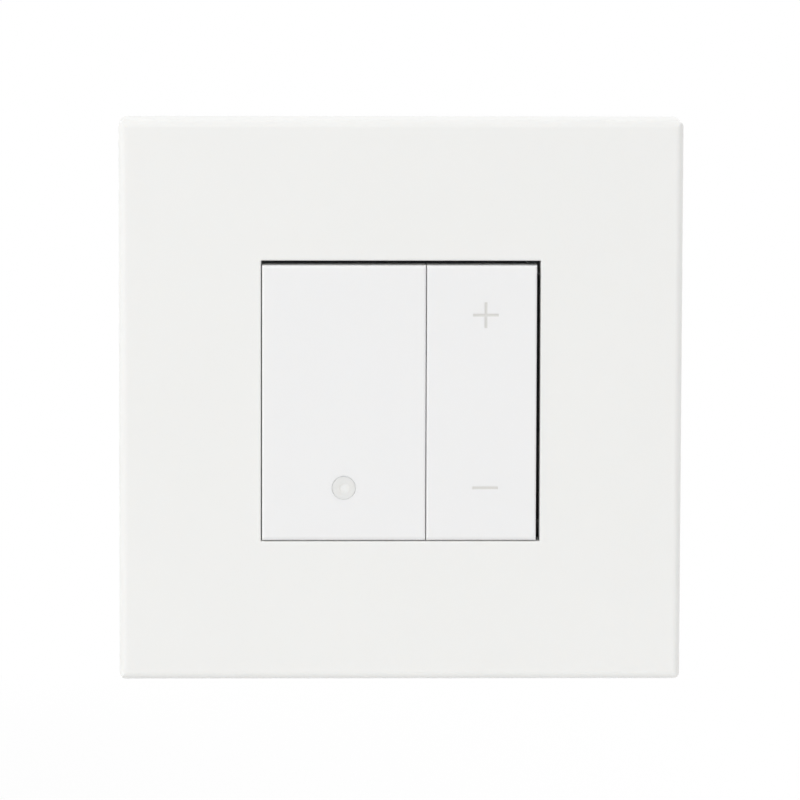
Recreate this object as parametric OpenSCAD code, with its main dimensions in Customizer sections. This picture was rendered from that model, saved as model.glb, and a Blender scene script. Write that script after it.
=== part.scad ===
// Push-key dimmer for a wall box: a square cover plate, a wide on/off key with a lit ring,
// a narrow brighter and darker rocker, and the casing and electronics behind them.
// X runs to the right, Y into the wall and Z up. The origin is the middle of the wall face,
// so everything that stands in front of the wall has a negative Y.

/* [Cover plate] */
// Width of the plate
plate_w = 90; // [84:1:120]
// Height of the plate
plate_h = 90; // [84:1:120]
// How far the plate's face stands off the wall
plate_depth = 9; // [8.6:0.1:12]
// Thickness of the plate's face
plate_skin = 2; // [1.6:0.1:2.6]
// Thickness of the plate's outer rim
plate_rim = 1.8; // [1.4:0.1:2.4]
// Rounding along the plate's front edge
plate_round = 1.2; // [0.6:0.1:1.4]
// Rounding of the plate's four corners, seen from the front
plate_corner = 1.2; // [0.8:0.1:3]
// Gap between the rim and the wall
wall_gap = 0.3; // [0.1:0.1:0.6]
// Width of the window
window_w = 44.6; // [44.4:0.1:46]
// Height of the window
window_h = 45.1; // [44.4:0.1:46]
// Rounding along the window's front edge
window_round = 0.35; // [0.1:0.05:0.5]
// Thickness of the collar behind the window
collar_wall = 1.4; // [1:0.1:1.6]
// Depth of the collar, from the plate's face
collar_depth = 4.8; // [3:0.1:4.9]
// Thickness of the pegs that hold the plate
peg_t = 1.4; // [1:0.1:1.8]
// Width of the pegs
peg_w = 8; // [5:0.5:10]
// Clearance around a peg in its socket
peg_fit = 0.15; // [0.1:0.05:0.3]
// Height of the pegs above and below the middle
peg_rise = 22; // [18:1:28]
// Distance from a peg's tip to the wall
peg_stop = 1; // [0.5:0.1:2]
// Play between the seated plate and its sockets
plate_play = 0.05; // [0.02:0.01:0.2]
// Thickness of the ribs behind the plate
rib_t = 1; // [0.8:0.1:1.4]
// Height of those ribs
rib_h = 1.2; // [0.8:0.1:1.4]
// Distance of those ribs from the middle
rib_out = 13; // [8:1:17]

/* [Keys] */
// How far the keys stand in front of the plate
key_proud = 0.5; // [0.2:0.1:0.8]
// Width of the on/off key
on_off_w = 26.15; // [24:0.01:28]
// Gap between the window and the on/off key
gap_left = 0.15; // [0.1:0.01:0.6]
// Gap between the two keys
gap_middle = 0.12; // [0.1:0.01:0.6]
// Gap between the rocker and the window
gap_right = 0.6; // [0.3:0.01:0.95]
// Gap above the keys
gap_top = 0.72; // [0.3:0.01:0.9]
// Gap below the keys
gap_bottom = 0.13; // [0.13:0.01:0.9]
// Thickness of a key's face
key_skin = 1.6; // [1.2:0.1:1.9]
// Depth of a key's skirt, from its face
key_skirt = 4.6; // [3.5:0.1:4.8]
// Thickness of a key's skirt
key_wall = 1.2; // [0.8:0.1:1.4]
// Rounding along a key's top and side edges
edge_round = 0.4; // [0.05:0.01:0.6]
// Rounding along a key's bottom edge
bottom_round = 0.75; // [0.1:0.01:0.9]
// Depth of the hinge lines behind a key's face
hinge_depth = 3.3; // [2.9:0.1:3.5]
// Drop from the top of the on/off key to its hinge line
hinge_drop = 4; // [3.8:0.1:6]
// Radius of the round hinge bars
bar_r = 1; // [0.8:0.05:1.15]
// Radial clearance of a hinge bar in its bearing
bearing_fit = 0.05; // [0.02:0.01:0.08]
// Wall around a bearing
bearing_wall = 0.65; // [0.5:0.05:0.8]
// Width of a bearing
bearing_w = 3.4; // [2.5:0.1:4]
// How far a bearing's arms reach past the middle of its bar
bearing_grip = 0.6; // [0.4:0.05:0.7]
// Gap beside a bearing
cheek_gap = 0.3; // [0.2:0.05:0.5]
// Thickness of the cheeks that carry a hinge bar
cheek_t = 1.2; // [0.8:0.1:1.4]

/* [Marks and ring] */
// Length of the plus and minus strokes
stroke_len = 4.1; // [3:0.1:5]
// Width of the strokes
stroke_w = 0.45; // [0.2:0.05:0.6]
// Depth of the strokes
stroke_deep = 0.15; // [0.05:0.05:0.4]
// Height of the marks above and below the middle
mark_rise = 13.9; // [10:0.1:16]
// How far the marks sit to the right of the rocker's middle
mark_shift = 0.65; // [0:0.05:1]
// Radius of the ring
ring_r = 1.85; // [1.6:0.05:2.6]
// Radius of the dish in the middle of the ring
dish_r = 0.75; // [0.5:0.05:1]
// Depth of the dish
dish_deep = 0.15; // [0.05:0.05:0.3]
// How far the ring sits below the middle of the window
ring_drop = 13.9; // [11:0.1:16]
// Width of the bevel around the ring
ring_bevel = 0.05; // [0.02:0.01:0.2]

/* [Support frame] */
// Gap between the frame and the plate's rim
frame_margin = 2.2; // [1:0.1:4]
// Thickness of the frame
frame_base = 2.2; // [1.8:0.1:2.6]
// Height of the stiffening rib along the frame's edge, from the wall
frame_rib = 3.6; // [2.8:0.1:5]
// Width of that rib
frame_rib_w = 1.4; // [1:0.1:2]
// Rounding of the frame's corners
frame_corner = 3; // [1:0.5:5]
// Distance between opposite box screws
screw_spacing = 60.3; // [60:0.1:61]
// Width of the screw slots
slot_w = 4.2; // [3.8:0.1:4.6]
// Length of the screw slots
slot_len = 8.6; // [6:0.1:9]
// How far the peg sockets stand off the wall
socket_front = 5; // [4:0.1:5.4]
// Wall around a peg socket
socket_wall = 1.4; // [1:0.1:2]
// Distance from the frame's edge to the middle of a socket
socket_inset = 5; // [4:0.1:6]
// Clearance of the mechanism in the frame
chassis_fit = 0.1; // [0.1:0.05:0.3]
// Width and height of the pockets in the frame's back
pocket_w = 10; // [6:0.5:11]
// Depth of those pockets
pocket_deep = 1; // [0.5:0.1:1.2]

/* [Mechanism casing] */
// Width and height of the chassis
chassis_w = 45; // [44.6:0.1:45.2]
// How far the chassis stands off the wall
chassis_front = 3.6; // [3.4:0.1:3.8]
// Thickness of the chassis face
chassis_skin = 1.4; // [1.2:0.1:1.6]
// Thickness of the chassis sides
chassis_wall = 1.5; // [1.2:0.1:1.8]
// Cut across the chassis corners
chassis_cut = 3; // [2:0.1:3.4]
// How far the chassis lips reach over the frame
lip_reach = 1.1; // [0.8:0.1:1.4]
// Thickness of the lips
lip_t = 0.8; // [0.6:0.1:1]
// Length of the lips
lip_w = 24; // [16:1:28]
// How far the side catches reach behind the frame
catch_reach = 0.8; // [0.5:0.1:1]
// Length of the side catches
catch_w = 8; // [6:0.5:10]
// How far in front of the wall plane the catches bite
catch_bite = 1.2; // [1:0.1:1.5]
// Clearance around a catch
catch_fit = 0.1; // [0.05:0.05:0.2]
// Inset of the casing screws from the sides of the chassis
screw_inset = 3.3; // [3.1:0.1:3.6]
// Radius of the casing screws
screw_r = 1.1; // [0.9:0.05:1.2]
// Radius of their heads
screw_head_r = 1.9; // [1.6:0.1:2]
// Thickness of their heads
screw_head_t = 1.4; // [1:0.1:1.8]
// Length of the screws under the head
screw_len = 5; // [4:0.1:5.2]
// Clearance around a screw
screw_fit = 0.06; // [0.03:0.01:0.15]
// Depth of the casing behind the wall
housing_back = 32; // [31:0.5:45]
// Thickness of the rear housing
housing_wall = 1.6; // [1.2:0.1:1.8]
// Thickness of its front flange
flange_t = 1.6; // [1.2:0.1:2]
// Step from the chassis sides to the housing sides
housing_step = 0.2; // [0.1:0.05:0.4]
// Cut along the housing's rear edges
housing_bevel = 1.2; // [0.6:0.1:1.5]
// Height of the ribs between the wire entries
barrier_h = 1; // [0.6:0.1:2]
// Length of the groove that shows how far to strip a wire
gauge_len = 9; // [7:0.5:11]

/* [Boards and switches] */
// Thickness of the circuit boards
board_t = 1.6; // [1.2:0.1:2]
// Clearance between a board and the housing
board_fit = 0.4; // [0.3:0.1:0.6]
// Depth of the control board behind the wall plane
control_y = 2; // [2:0.1:2.4]
// Depth of the power board behind the wall plane
power_y = 17; // [17:0.5:19]
// Width and height of a push switch
switch_w = 6; // [5:0.1:6.4]
// Height of a push switch
switch_h = 3.5; // [3:0.1:3.8]
// Thickness of a push switch's lid
switch_lid = 0.8; // [0.6:0.1:1]
// Radius of a plunger
plunger_r = 1.7; // [1.2:0.05:1.8]
// Clearance of a plunger in its switch
plunger_fit = 0.05; // [0.03:0.01:0.1]
// How far a plunger stands in front of the chassis
plunger_proud = 0.9; // [0.7:0.1:1]
// Gap between a plunger and the key that presses it
press_gap = 0.1; // [0.05:0.01:0.2]
// How far the on/off switch sits below the middle
on_off_drop = 6; // [4:0.1:8]

/* [Terminals] */
// Distance between wire entries
wire_pitch = 10; // [9:0.1:10.4]
// Radius of a wire entry
wire_r = 1.65; // [1.4:0.05:1.8]
// How far the wire entries sit below the middle
wire_drop = 12.2; // [12:0.05:13]
// Thickness of a terminal cage
cage_wall = 1.2; // [0.9:0.1:1.3]
// Length of a terminal cage
cage_len = 9; // [7:0.1:9.4]
// Radius of a clamp screw
clamp_r = 1.45; // [1.2:0.05:1.5]
// Radius of the holes for the screwdriver
driver_r = 2.6; // [2.4:0.1:2.9]

/* [Hidden] */
$fn = 48;
eps = 0.01;
past = 1;
root_two = sqrt(2);

plate_y = -plate_depth;
plate_inner_y = plate_y + plate_skin;
collar_y = plate_y + collar_depth;

frame_w = plate_w - 2 * (plate_rim + frame_margin);
frame_h = plate_h - 2 * (plate_rim + frame_margin);
frame_hole = chassis_w + 2 * chassis_fit;
frame_seat = chassis_front - lip_t;
frame_seat_w = 1.6;
socket_x = frame_w / 2 - socket_inset;
pocket_web = 2;
pocket_round = 1.5;
pocket_x = frame_w / 2 - frame_rib_w - pocket_web - pocket_w / 2;
pocket_z = frame_h / 2 - frame_rib_w - pocket_web - pocket_w / 2;

key_y = plate_y - key_proud;
key_inner_y = key_y + key_skin;
skirt_y = key_y + key_skirt;
hinge_y = key_y + hinge_depth;
key_top = window_h / 2 - gap_top;
key_low = gap_bottom - window_h / 2;
on_off_x0 = gap_left - window_w / 2;
on_off_x1 = on_off_x0 + on_off_w;
on_off_x = (on_off_x0 + on_off_x1) / 2;
rocker_x0 = on_off_x1 + gap_middle;
rocker_x1 = window_w / 2 - gap_right;
rocker_x = (rocker_x0 + rocker_x1) / 2;
on_off_hinge_z = key_top - hinge_drop;
rocker_hinge_z = 0;
bearing_r = bar_r + bearing_fit + bearing_wall;
cheek_span = bearing_w / 2 + cheek_gap + cheek_t;
cheek_lip = 0.4;
cheek_half = bar_r + cheek_lip;
on_off_bearing_inset = 2;
rocker_bearing_inset = 0.5;
// How far each pair of bearings sits from the middle of its key
on_off_bearing = on_off_w / 2 - key_wall - cheek_span - on_off_bearing_inset;
rocker_bearing = (rocker_x1 - rocker_x0) / 2 - key_wall - cheek_span - rocker_bearing_inset;

chassis_y = -chassis_front;
chassis_inner_y = chassis_y + chassis_skin;
screw_xz = chassis_w / 2 - screw_inset;
head_gap = 0.4;
// Distance of the cut corners from the middle, measured as X plus Z
corner_line = 2 * screw_xz - (screw_head_r + head_gap) * root_two;
chassis_in_w = chassis_w - 2 * chassis_wall;
housing_w = chassis_w - 2 * housing_step;
housing_in_w = housing_w - 2 * housing_wall;
housing_inner_y = housing_back - housing_wall;
board_w = housing_in_w - 2 * board_fit;
flange_y = control_y + flange_t;
screw_hole_r = screw_r + screw_fit;

control_back_y = control_y + board_t;
power_back_y = power_y + board_t;
switch_y = control_y - switch_h;
plunger_tip_y = chassis_y - plunger_proud;
plunger_hole_fit = 0.25;
plunger_hole_r = plunger_r + plunger_hole_fit;
plunger_flange_lip = 0.5;
plunger_flange_r = plunger_r + plunger_flange_lip;
plunger_flange_t = 0.6;
plunger_flange_gap = 0.5;
plunger_flange_y = switch_y + switch_lid + plunger_flange_gap;
press_y = plunger_tip_y - press_gap;
post_x = 17.6;
post_z = 9;
post_r = 1.5;

spring_r = 1.9;
spring_wire_r = 0.25;
spring_seat_gap = 0.05;
spigot_r = 1.2;
spigot_h = 0.8;
spring_y0 = key_inner_y + spring_seat_gap;
spring_y1 = chassis_y - spring_seat_gap;
spring_turns = 4;
on_off_spring_z = 3.5;
rocker_spring_z = 7;

guide_boss_h = 1.4;
guide_boss_wall = 1.1;
guide_boss_r = ring_r + guide_boss_wall;
guide_flange_y = key_inner_y + guide_boss_h;
guide_flange_t = 0.8;
guide_flange_lip = 0.75;
guide_flange_r = ring_r + guide_flange_lip;
guide_stem_r = 1.5;
guide_hole_fit = 0.6;
guide_hole_r = guide_stem_r + guide_hole_fit;
guide_fit = 0.02;
led_t = 1.8;
guide_led_gap = 1.2;
guide_end_y = control_y - led_t - guide_led_gap;

cage_z1 = -wire_drop + wire_r + cage_wall;
clamp_room = 1.7;
cage_z0 = cage_z1 - 2 * wire_r - clamp_room - 2 * cage_wall;
cage_play = 0.35;
cage_in_w = 2 * (wire_r + cage_play);
cage_y1 = power_back_y + cage_len;
clamp_t = 0.9;
clamp_top = -wire_drop - wire_r;
clamp_y = power_back_y + cage_len / 2;
clamp_head_r = 2.3;
clamp_head_t = 1.8;
entry_gap = 0.4;
entry_wall = 1.25;
entry_boss_y = cage_y1 + entry_gap;
entry_boss_r = wire_r + entry_wall;
entry_lead = 0.6;

choke_x = -9.4;
choke_z = -7;
choke_ring_r = 6;
core_half = 2;
loop_r = 3.15;
loop_wire_r = 0.25;
loop_count = 20;
choke_gap = 0.05;
choke_y = power_y - loop_r - loop_wire_r - choke_gap;

sink_z0 = 17.6;
sink_t = 1.8;
pad_t = 0.3;
tab_t = 1.3;
triac_body_t = 3.2;
triac_x0 = -9;
triac_x1 = 0.2;
triac_tab_x1 = 6.5;
triac_w = 10;
triac_standoff = 1.5;
triac_y1 = power_y - triac_standoff;
triac_y0 = triac_y1 - triac_w;
triac_y = (triac_y0 + triac_y1) / 2;
triac_screw_x = 3.7;
triac_screw_r = 1.45;
triac_hole_fit = 0.35;
lead_pitch = 2.54;
tab_z0 = sink_z0 - pad_t - tab_t;

fuse_x = 14.2;
fuse_z0 = -3;
fuse_z1 = 5;
fuse_r = 1.6;
fuse_cap_lip = 0.3;
fuse_standoff = 0.3;
fuse_y = power_y - fuse_r - fuse_cap_lip - fuse_standoff;

header_ways = 6;
header_pitch = 2.54;
header_x = -9.2;
header_z = 6.2;
header_block = 2.5;

// A box between two opposite corners
module box(low, high) {
    translate(low) cube(high - low);
}

// An outline in X and Z, carried from depth y0 to depth y1
module slab(y0, y1) {
    translate([0, y1, 0]) rotate([90, 0, 0]) linear_extrude(y1 - y0) children();
}

// A profile in X and Y, carried from height z0 to height z1
module upright(z0, z1) {
    translate([0, 0, z0]) linear_extrude(z1 - z0) children();
}

// A profile in Z and Y, carried from x0 to x1
module crosswise(x0, x1) {
    translate([x1, 0, 0]) rotate([0, -90, 0]) linear_extrude(x1 - x0) children();
}

// A round rod along Y
module rod_y(r, x, z, y0, y1) {
    translate([x, y0, z]) rotate([-90, 0, 0]) cylinder(r = r, h = y1 - y0);
}

// A round rod along X
module rod_x(r, y, z, x0, x1) {
    translate([x0, y, z]) rotate([0, 90, 0]) cylinder(r = r, h = x1 - x0);
}

// A round rod along Z
module rod_z(r, x, y, z0, z1) {
    translate([x, y, z0]) cylinder(r = r, h = z1 - z0);
}

// What a rounded edge takes off a square corner at the origin
module corner_waste(r) {
    difference() {
        translate([-eps, -eps]) square(r + eps);
        translate([r, r]) circle(r);
    }
}

// A rectangle whose two front corners are rounded; y0 is the front
module soft_profile(x0, x1, y0, y1, r0, r1) {
    difference() {
        translate([x0, y0]) square([x1 - x0, y1 - y0]);
        translate([x0, y0]) corner_waste(r0);
        translate([x1, y0]) mirror([1, 0]) corner_waste(r1);
    }
}

// A block with rounded front edges: r along the sides and the top, low_r along the bottom
module soft_block(low, high, r, low_r) {
    intersection() {
        upright(low.z, high.z) soft_profile(low.x, high.x, low.y, high.y, r, r);
        crosswise(low.x, high.x) soft_profile(low.z, high.z, low.y, high.y, low_r, r);
    }
}

// A rectangle with four rounded corners
module round_rect(w, h, r) {
    square([w - 2 * r, h], center = true);
    square([w, h - 2 * r], center = true);
    for (x = [-1, 1], z = [-1, 1])
        translate([x * (w / 2 - r), z * (h / 2 - r)]) circle(r);
}

// A square whose corners are cut off where X plus Z reaches line
module cut_square(w, line) {
    half = w / 2;
    rest = line - half;
    polygon([
        [half, -rest], [half, rest], [rest, half], [-rest, half],
        [-half, rest], [-half, -rest], [-rest, -half], [rest, -half]
    ]);
}

// A slot with round ends that runs along X
module slot(len, w) {
    square([len - w, w], center = true);
    for (side = [-1, 1])
        translate([side * (len - w) / 2, 0]) circle(w / 2);
}

// Repeats its children at the four corners of a rectangle
module at_corners(x, z) {
    for (sx = [-1, 1], sz = [-1, 1])
        translate([sx * x, 0, sz * z]) children();
}

// A coil along Y whose wire lies between depths y0 and y1
module coil(x, z, y0, y1, turns) {
    steps = turns * 14;
    sides = 6;
    rise = (y1 - y0 - 2 * spring_wire_r) / steps;
    points = [
        for (i = [0:steps], k = [0:sides - 1])
            let (
                turn = 360 * turns * i / steps,
                around = 360 * k / sides,
                r = spring_r + spring_wire_r * cos(around),
                y = y0 + spring_wire_r + rise * i + spring_wire_r * sin(around)
            )
            [x + r * cos(turn), y, z + r * sin(turn)]
    ];
    walls = [
        for (i = [0:steps - 1], k = [0:sides - 1])
            let (next = (k + 1) % sides)
            [i * sides + k, i * sides + next, (i + 1) * sides + next, (i + 1) * sides + k]
    ];
    start_cap = [for (k = [sides - 1:-1:0]) k];
    end_cap = [for (k = [0:sides - 1]) steps * sides + k];
    polyhedron(points = points, faces = concat(walls, [start_cap, end_cap]), convexity = 6);
}

// The rounded front edge of the window, as waste to be cut away
module window_waste() {
    half_w = window_w / 2;
    half_h = window_h / 2;
    for (side = [0, 1]) {
        mirror([side, 0, 0])
            upright(-half_h, half_h)
                translate([half_w, plate_y]) corner_waste(window_round);
        mirror([0, 0, side])
            crosswise(-half_w, half_w)
                translate([half_h, plate_y]) corner_waste(window_round);
    }
}

// A rib behind the plate, between two corners in X and Z
module plate_rib(low, high) {
    box(
        [low.x - eps, plate_inner_y - eps, low.y - eps],
        [high.x + eps, plate_inner_y + rib_h, high.y + eps]
    );
}

module cover_plate() {
    low = [-plate_w / 2, plate_y, -plate_h / 2];
    high = [plate_w / 2, -wall_gap, plate_h / 2];
    rim = [plate_rim, 0, plate_rim];
    collar_w = window_w + 2 * collar_wall;
    collar_h = window_h + 2 * collar_wall;
    shoulder_t = peg_t + 2 * socket_wall;
    shoulder_w = peg_w + 2 * socket_wall;
    color([0.94, 0.94, 0.93]) {
        difference() {
            union() {
                difference() {
                    intersection() {
                        soft_block(low, high, plate_round, plate_round);
                        slab(low.y, high.y) round_rect(plate_w, plate_h, plate_corner);
                    }
                    box([low.x, plate_inner_y, low.z] + rim, high - rim + [0, past, 0]);
                }
                slab(plate_inner_y - eps, collar_y) square([collar_w, collar_h], center = true);
            }
            slab(plate_y - past, collar_y + past) square([window_w, window_h], center = true);
            window_waste();
        }
        at_corners(socket_x, peg_rise) {
            box(
                [-shoulder_t / 2, plate_inner_y - eps, -shoulder_w / 2],
                [shoulder_t / 2, -socket_front - plate_play, shoulder_w / 2]
            );
            box(
                [-peg_t / 2, plate_inner_y, -peg_w / 2],
                [peg_t / 2, -peg_stop, peg_w / 2]
            );
        }
        for (side = [0, 1], out = [-rib_out, rib_out]) {
            mirror([side, 0, 0])
                plate_rib([collar_w / 2, out - rib_t / 2], [plate_w / 2 - plate_rim, out + rib_t / 2]);
            mirror([0, 0, side])
                plate_rib([out - rib_t / 2, collar_h / 2], [out + rib_t / 2, plate_h / 2 - plate_rim]);
        }
    }
}

// The hollow shell of a key
module key_shell(x0, x1) {
    difference() {
        soft_block([x0, key_y, key_low], [x1, skirt_y, key_top], edge_round, bottom_round);
        box(
            [x0 + key_wall, key_inner_y, key_low + key_wall],
            [x1 - key_wall, skirt_y + past, key_top - key_wall]
        );
    }
}

// A hinge bar between two cheeks on the back of a key
module hinge_bar(x, z) {
    rod_x(bar_r, hinge_y, z, x - cheek_span, x + cheek_span);
    for (side = [-1, 1])
        translate([x + side * (cheek_span - cheek_t / 2), 0, z])
            box(
                [-cheek_t / 2, key_inner_y - eps, -cheek_half],
                [cheek_t / 2, hinge_y + bar_r, cheek_half]
            );
}

// A post on the back of a key that presses a plunger
module pusher(x, z) {
    rod_y(plunger_r, x, z, key_inner_y - eps, press_y);
}

// A short peg that a coil slips over
module key_spigot(x, z) {
    rod_y(spigot_r, x, z, key_inner_y - eps, key_inner_y + spigot_h);
}

module on_off_key() {
    color([0.95, 0.95, 0.95])
        difference() {
            union() {
                key_shell(on_off_x0, on_off_x1);
                for (side = [-1, 1])
                    hinge_bar(on_off_x + side * on_off_bearing, on_off_hinge_z);
                pusher(on_off_x, -on_off_drop);
                key_spigot(on_off_x, on_off_spring_z);
                rod_y(guide_boss_r, on_off_x, -ring_drop, key_inner_y - eps, guide_flange_y);
            }
            rod_y(ring_r + guide_fit, on_off_x, -ring_drop, key_y - past, guide_flange_y + past);
            translate([on_off_x, key_y, -ring_drop])
                rotate([-90, 0, 0])
                    cylinder(r1 = ring_r + guide_fit + ring_bevel, r2 = ring_r + guide_fit, h = ring_bevel);
        }
}

module light_guide() {
    flange_end = guide_flange_y + guide_flange_t;
    color([0.86, 0.87, 0.88])
        difference() {
            union() {
                rod_y(ring_r, on_off_x, -ring_drop, key_y, guide_flange_y + eps);
                rod_y(guide_flange_r, on_off_x, -ring_drop, guide_flange_y, flange_end);
                rod_y(guide_stem_r, on_off_x, -ring_drop, flange_end - eps, guide_end_y);
            }
            rod_y(dish_r, on_off_x, -ring_drop, key_y - past, key_y + dish_deep);
        }
}

// One engraved stroke on the rocker's face
module stroke(x, z, w, h) {
    box(
        [x - w / 2, key_y - past, z - h / 2],
        [x + w / 2, key_y + stroke_deep, z + h / 2]
    );
}

module dim_rocker() {
    mark_x = rocker_x + mark_shift;
    color([0.94, 0.94, 0.94])
        difference() {
            union() {
                key_shell(rocker_x0, rocker_x1);
                for (side = [-1, 1]) {
                    hinge_bar(rocker_x + side * rocker_bearing, rocker_hinge_z);
                    pusher(rocker_x, side * mark_rise);
                    key_spigot(rocker_x, side * rocker_spring_z);
                }
            }
            stroke(mark_x, mark_rise, stroke_len, stroke_w);
            stroke(mark_x, mark_rise, stroke_w, stroke_len);
            stroke(mark_x, -mark_rise, stroke_len, stroke_w);
        }
}

module support_frame() {
    rib_in_w = frame_w - 2 * frame_rib_w;
    rib_in_h = frame_h - 2 * frame_rib_w;
    seat_w = frame_hole + 2 * frame_seat_w;
    socket_t = peg_t + 2 * (peg_fit + socket_wall);
    socket_w = peg_w + 2 * (peg_fit + socket_wall);
    catch_x = frame_hole / 2 + catch_reach + catch_fit;
    catch_half = catch_w / 2 + 2 * catch_fit;
    color([0.55, 0.56, 0.57])
        difference() {
            union() {
                slab(-frame_base, 0) round_rect(frame_w, frame_h, frame_corner);
                difference() {
                    slab(-frame_rib, -frame_base + eps) round_rect(frame_w, frame_h, frame_corner);
                    slab(-frame_rib - past, past)
                        round_rect(rib_in_w, rib_in_h, frame_corner - frame_rib_w / 2);
                }
                slab(-frame_seat, -frame_base + eps) square(seat_w, center = true);
                at_corners(socket_x, peg_rise)
                    box(
                        [-socket_t / 2, -socket_front, -socket_w / 2],
                        [socket_t / 2, -frame_base + eps, socket_w / 2]
                    );
            }
            slab(-frame_seat - past, past)
                cut_square(frame_hole, chassis_w - chassis_cut + 2 * chassis_fit);
            at_corners(socket_x, peg_rise)
                box(
                    [-peg_t / 2 - peg_fit, -socket_front - past, -peg_w / 2 - peg_fit],
                    [peg_t / 2 + peg_fit, past, peg_w / 2 + peg_fit]
                );
            for (side = [-1, 1]) {
                slab(-frame_base - past, past)
                    translate([side * screw_spacing / 2, 0]) slot(slot_len, slot_w);
                slab(-frame_base - past, past)
                    translate([0, side * screw_spacing / 2]) rotate(90) slot(slot_len, slot_w);
            }
            for (side = [0, 1])
                mirror([side, 0, 0])
                    box(
                        [frame_hole / 2 - past, -catch_bite - catch_fit, -catch_half],
                        [catch_x, past, catch_half]
                    );
            for (x = [pocket_x, pocket_x - pocket_w - pocket_web])
                at_corners(x, pocket_z)
                    slab(-pocket_deep, past) round_rect(pocket_w, pocket_w, pocket_round);
        }
}

// A bearing that grips a hinge bar; its mouth opens to the front
module bearing(x, z) {
    half = bearing_w / 2;
    bore_r = bar_r + bearing_fit;
    difference() {
        union() {
            rod_x(bearing_r, hinge_y, z, x - half, x + half);
            box(
                [x - half, hinge_y, z - bearing_r],
                [x + half, chassis_y + eps, z + bearing_r]
            );
        }
        rod_x(bore_r, hinge_y, z, x - half - past, x + half + past);
        box(
            [x - half - past, key_y, z - bearing_r - past],
            [x + half + past, hinge_y - bearing_grip, z + bearing_r + past]
        );
    }
}

// A peg on the chassis that a coil slips over
module chassis_spigot(x, z) {
    rod_y(spigot_r, x, z, chassis_y - spigot_h, chassis_y + eps);
}

// The outline of the chassis
module chassis_outline() {
    cut_square(chassis_w, chassis_w - chassis_cut);
}

module chassis() {
    half = chassis_w / 2;
    catch_end = 0.5;
    screw_tip_gap = 0.3;
    hole_end = chassis_inner_y + past;
    color([0.17, 0.17, 0.18]) {
        difference() {
            union() {
                slab(chassis_y, control_y) chassis_outline();
                for (side = [0, 1]) {
                    mirror([0, 0, side])
                        box(
                            [-lip_w / 2, chassis_y, half - eps],
                            [lip_w / 2, -frame_seat, half + lip_reach]
                        );
                    mirror([side, 0, 0])
                        upright(-catch_w / 2, catch_w / 2)
                            polygon([
                                [half - eps, -catch_bite],
                                [half + catch_reach, -catch_bite],
                                [half - eps, control_y - catch_end]
                            ]);
                }
            }
            slab(chassis_inner_y, control_y + past) cut_square(chassis_in_w, corner_line);
            at_corners(screw_xz, screw_xz)
                rod_y(screw_hole_r, 0, 0, flange_y - screw_len - screw_tip_gap, control_y + past);
            rod_y(plunger_hole_r, on_off_x, -on_off_drop, chassis_y - past, hole_end);
            for (side = [-1, 1])
                rod_y(plunger_hole_r, rocker_x, side * mark_rise, chassis_y - past, hole_end);
            rod_y(guide_hole_r, on_off_x, -ring_drop, chassis_y - past, hole_end);
        }
        for (side = [-1, 1]) {
            bearing(on_off_x + side * on_off_bearing, on_off_hinge_z);
            bearing(rocker_x + side * rocker_bearing, rocker_hinge_z);
            chassis_spigot(rocker_x, side * rocker_spring_z);
        }
        chassis_spigot(on_off_x, on_off_spring_z);
        at_corners(post_x, post_z)
            rod_y(post_r, 0, 0, chassis_inner_y - eps, control_y);
    }
}

// The housing's outer block with its rear edges cut back
module housing_block() {
    half = housing_w / 2;
    back_profile = [
        [-half, control_y], [half, control_y], [half, housing_back - housing_bevel],
        [half - housing_bevel, housing_back], [housing_bevel - half, housing_back],
        [-half, housing_back - housing_bevel]
    ];
    intersection() {
        slab(control_y, housing_back) cut_square(housing_w, corner_line);
        upright(-half, half) polygon(back_profile);
        crosswise(-half, half) polygon(back_profile);
    }
}

// The outline of the housing's inside
module housing_inside() {
    cut_square(housing_in_w, corner_line - housing_wall * root_two);
}

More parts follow.
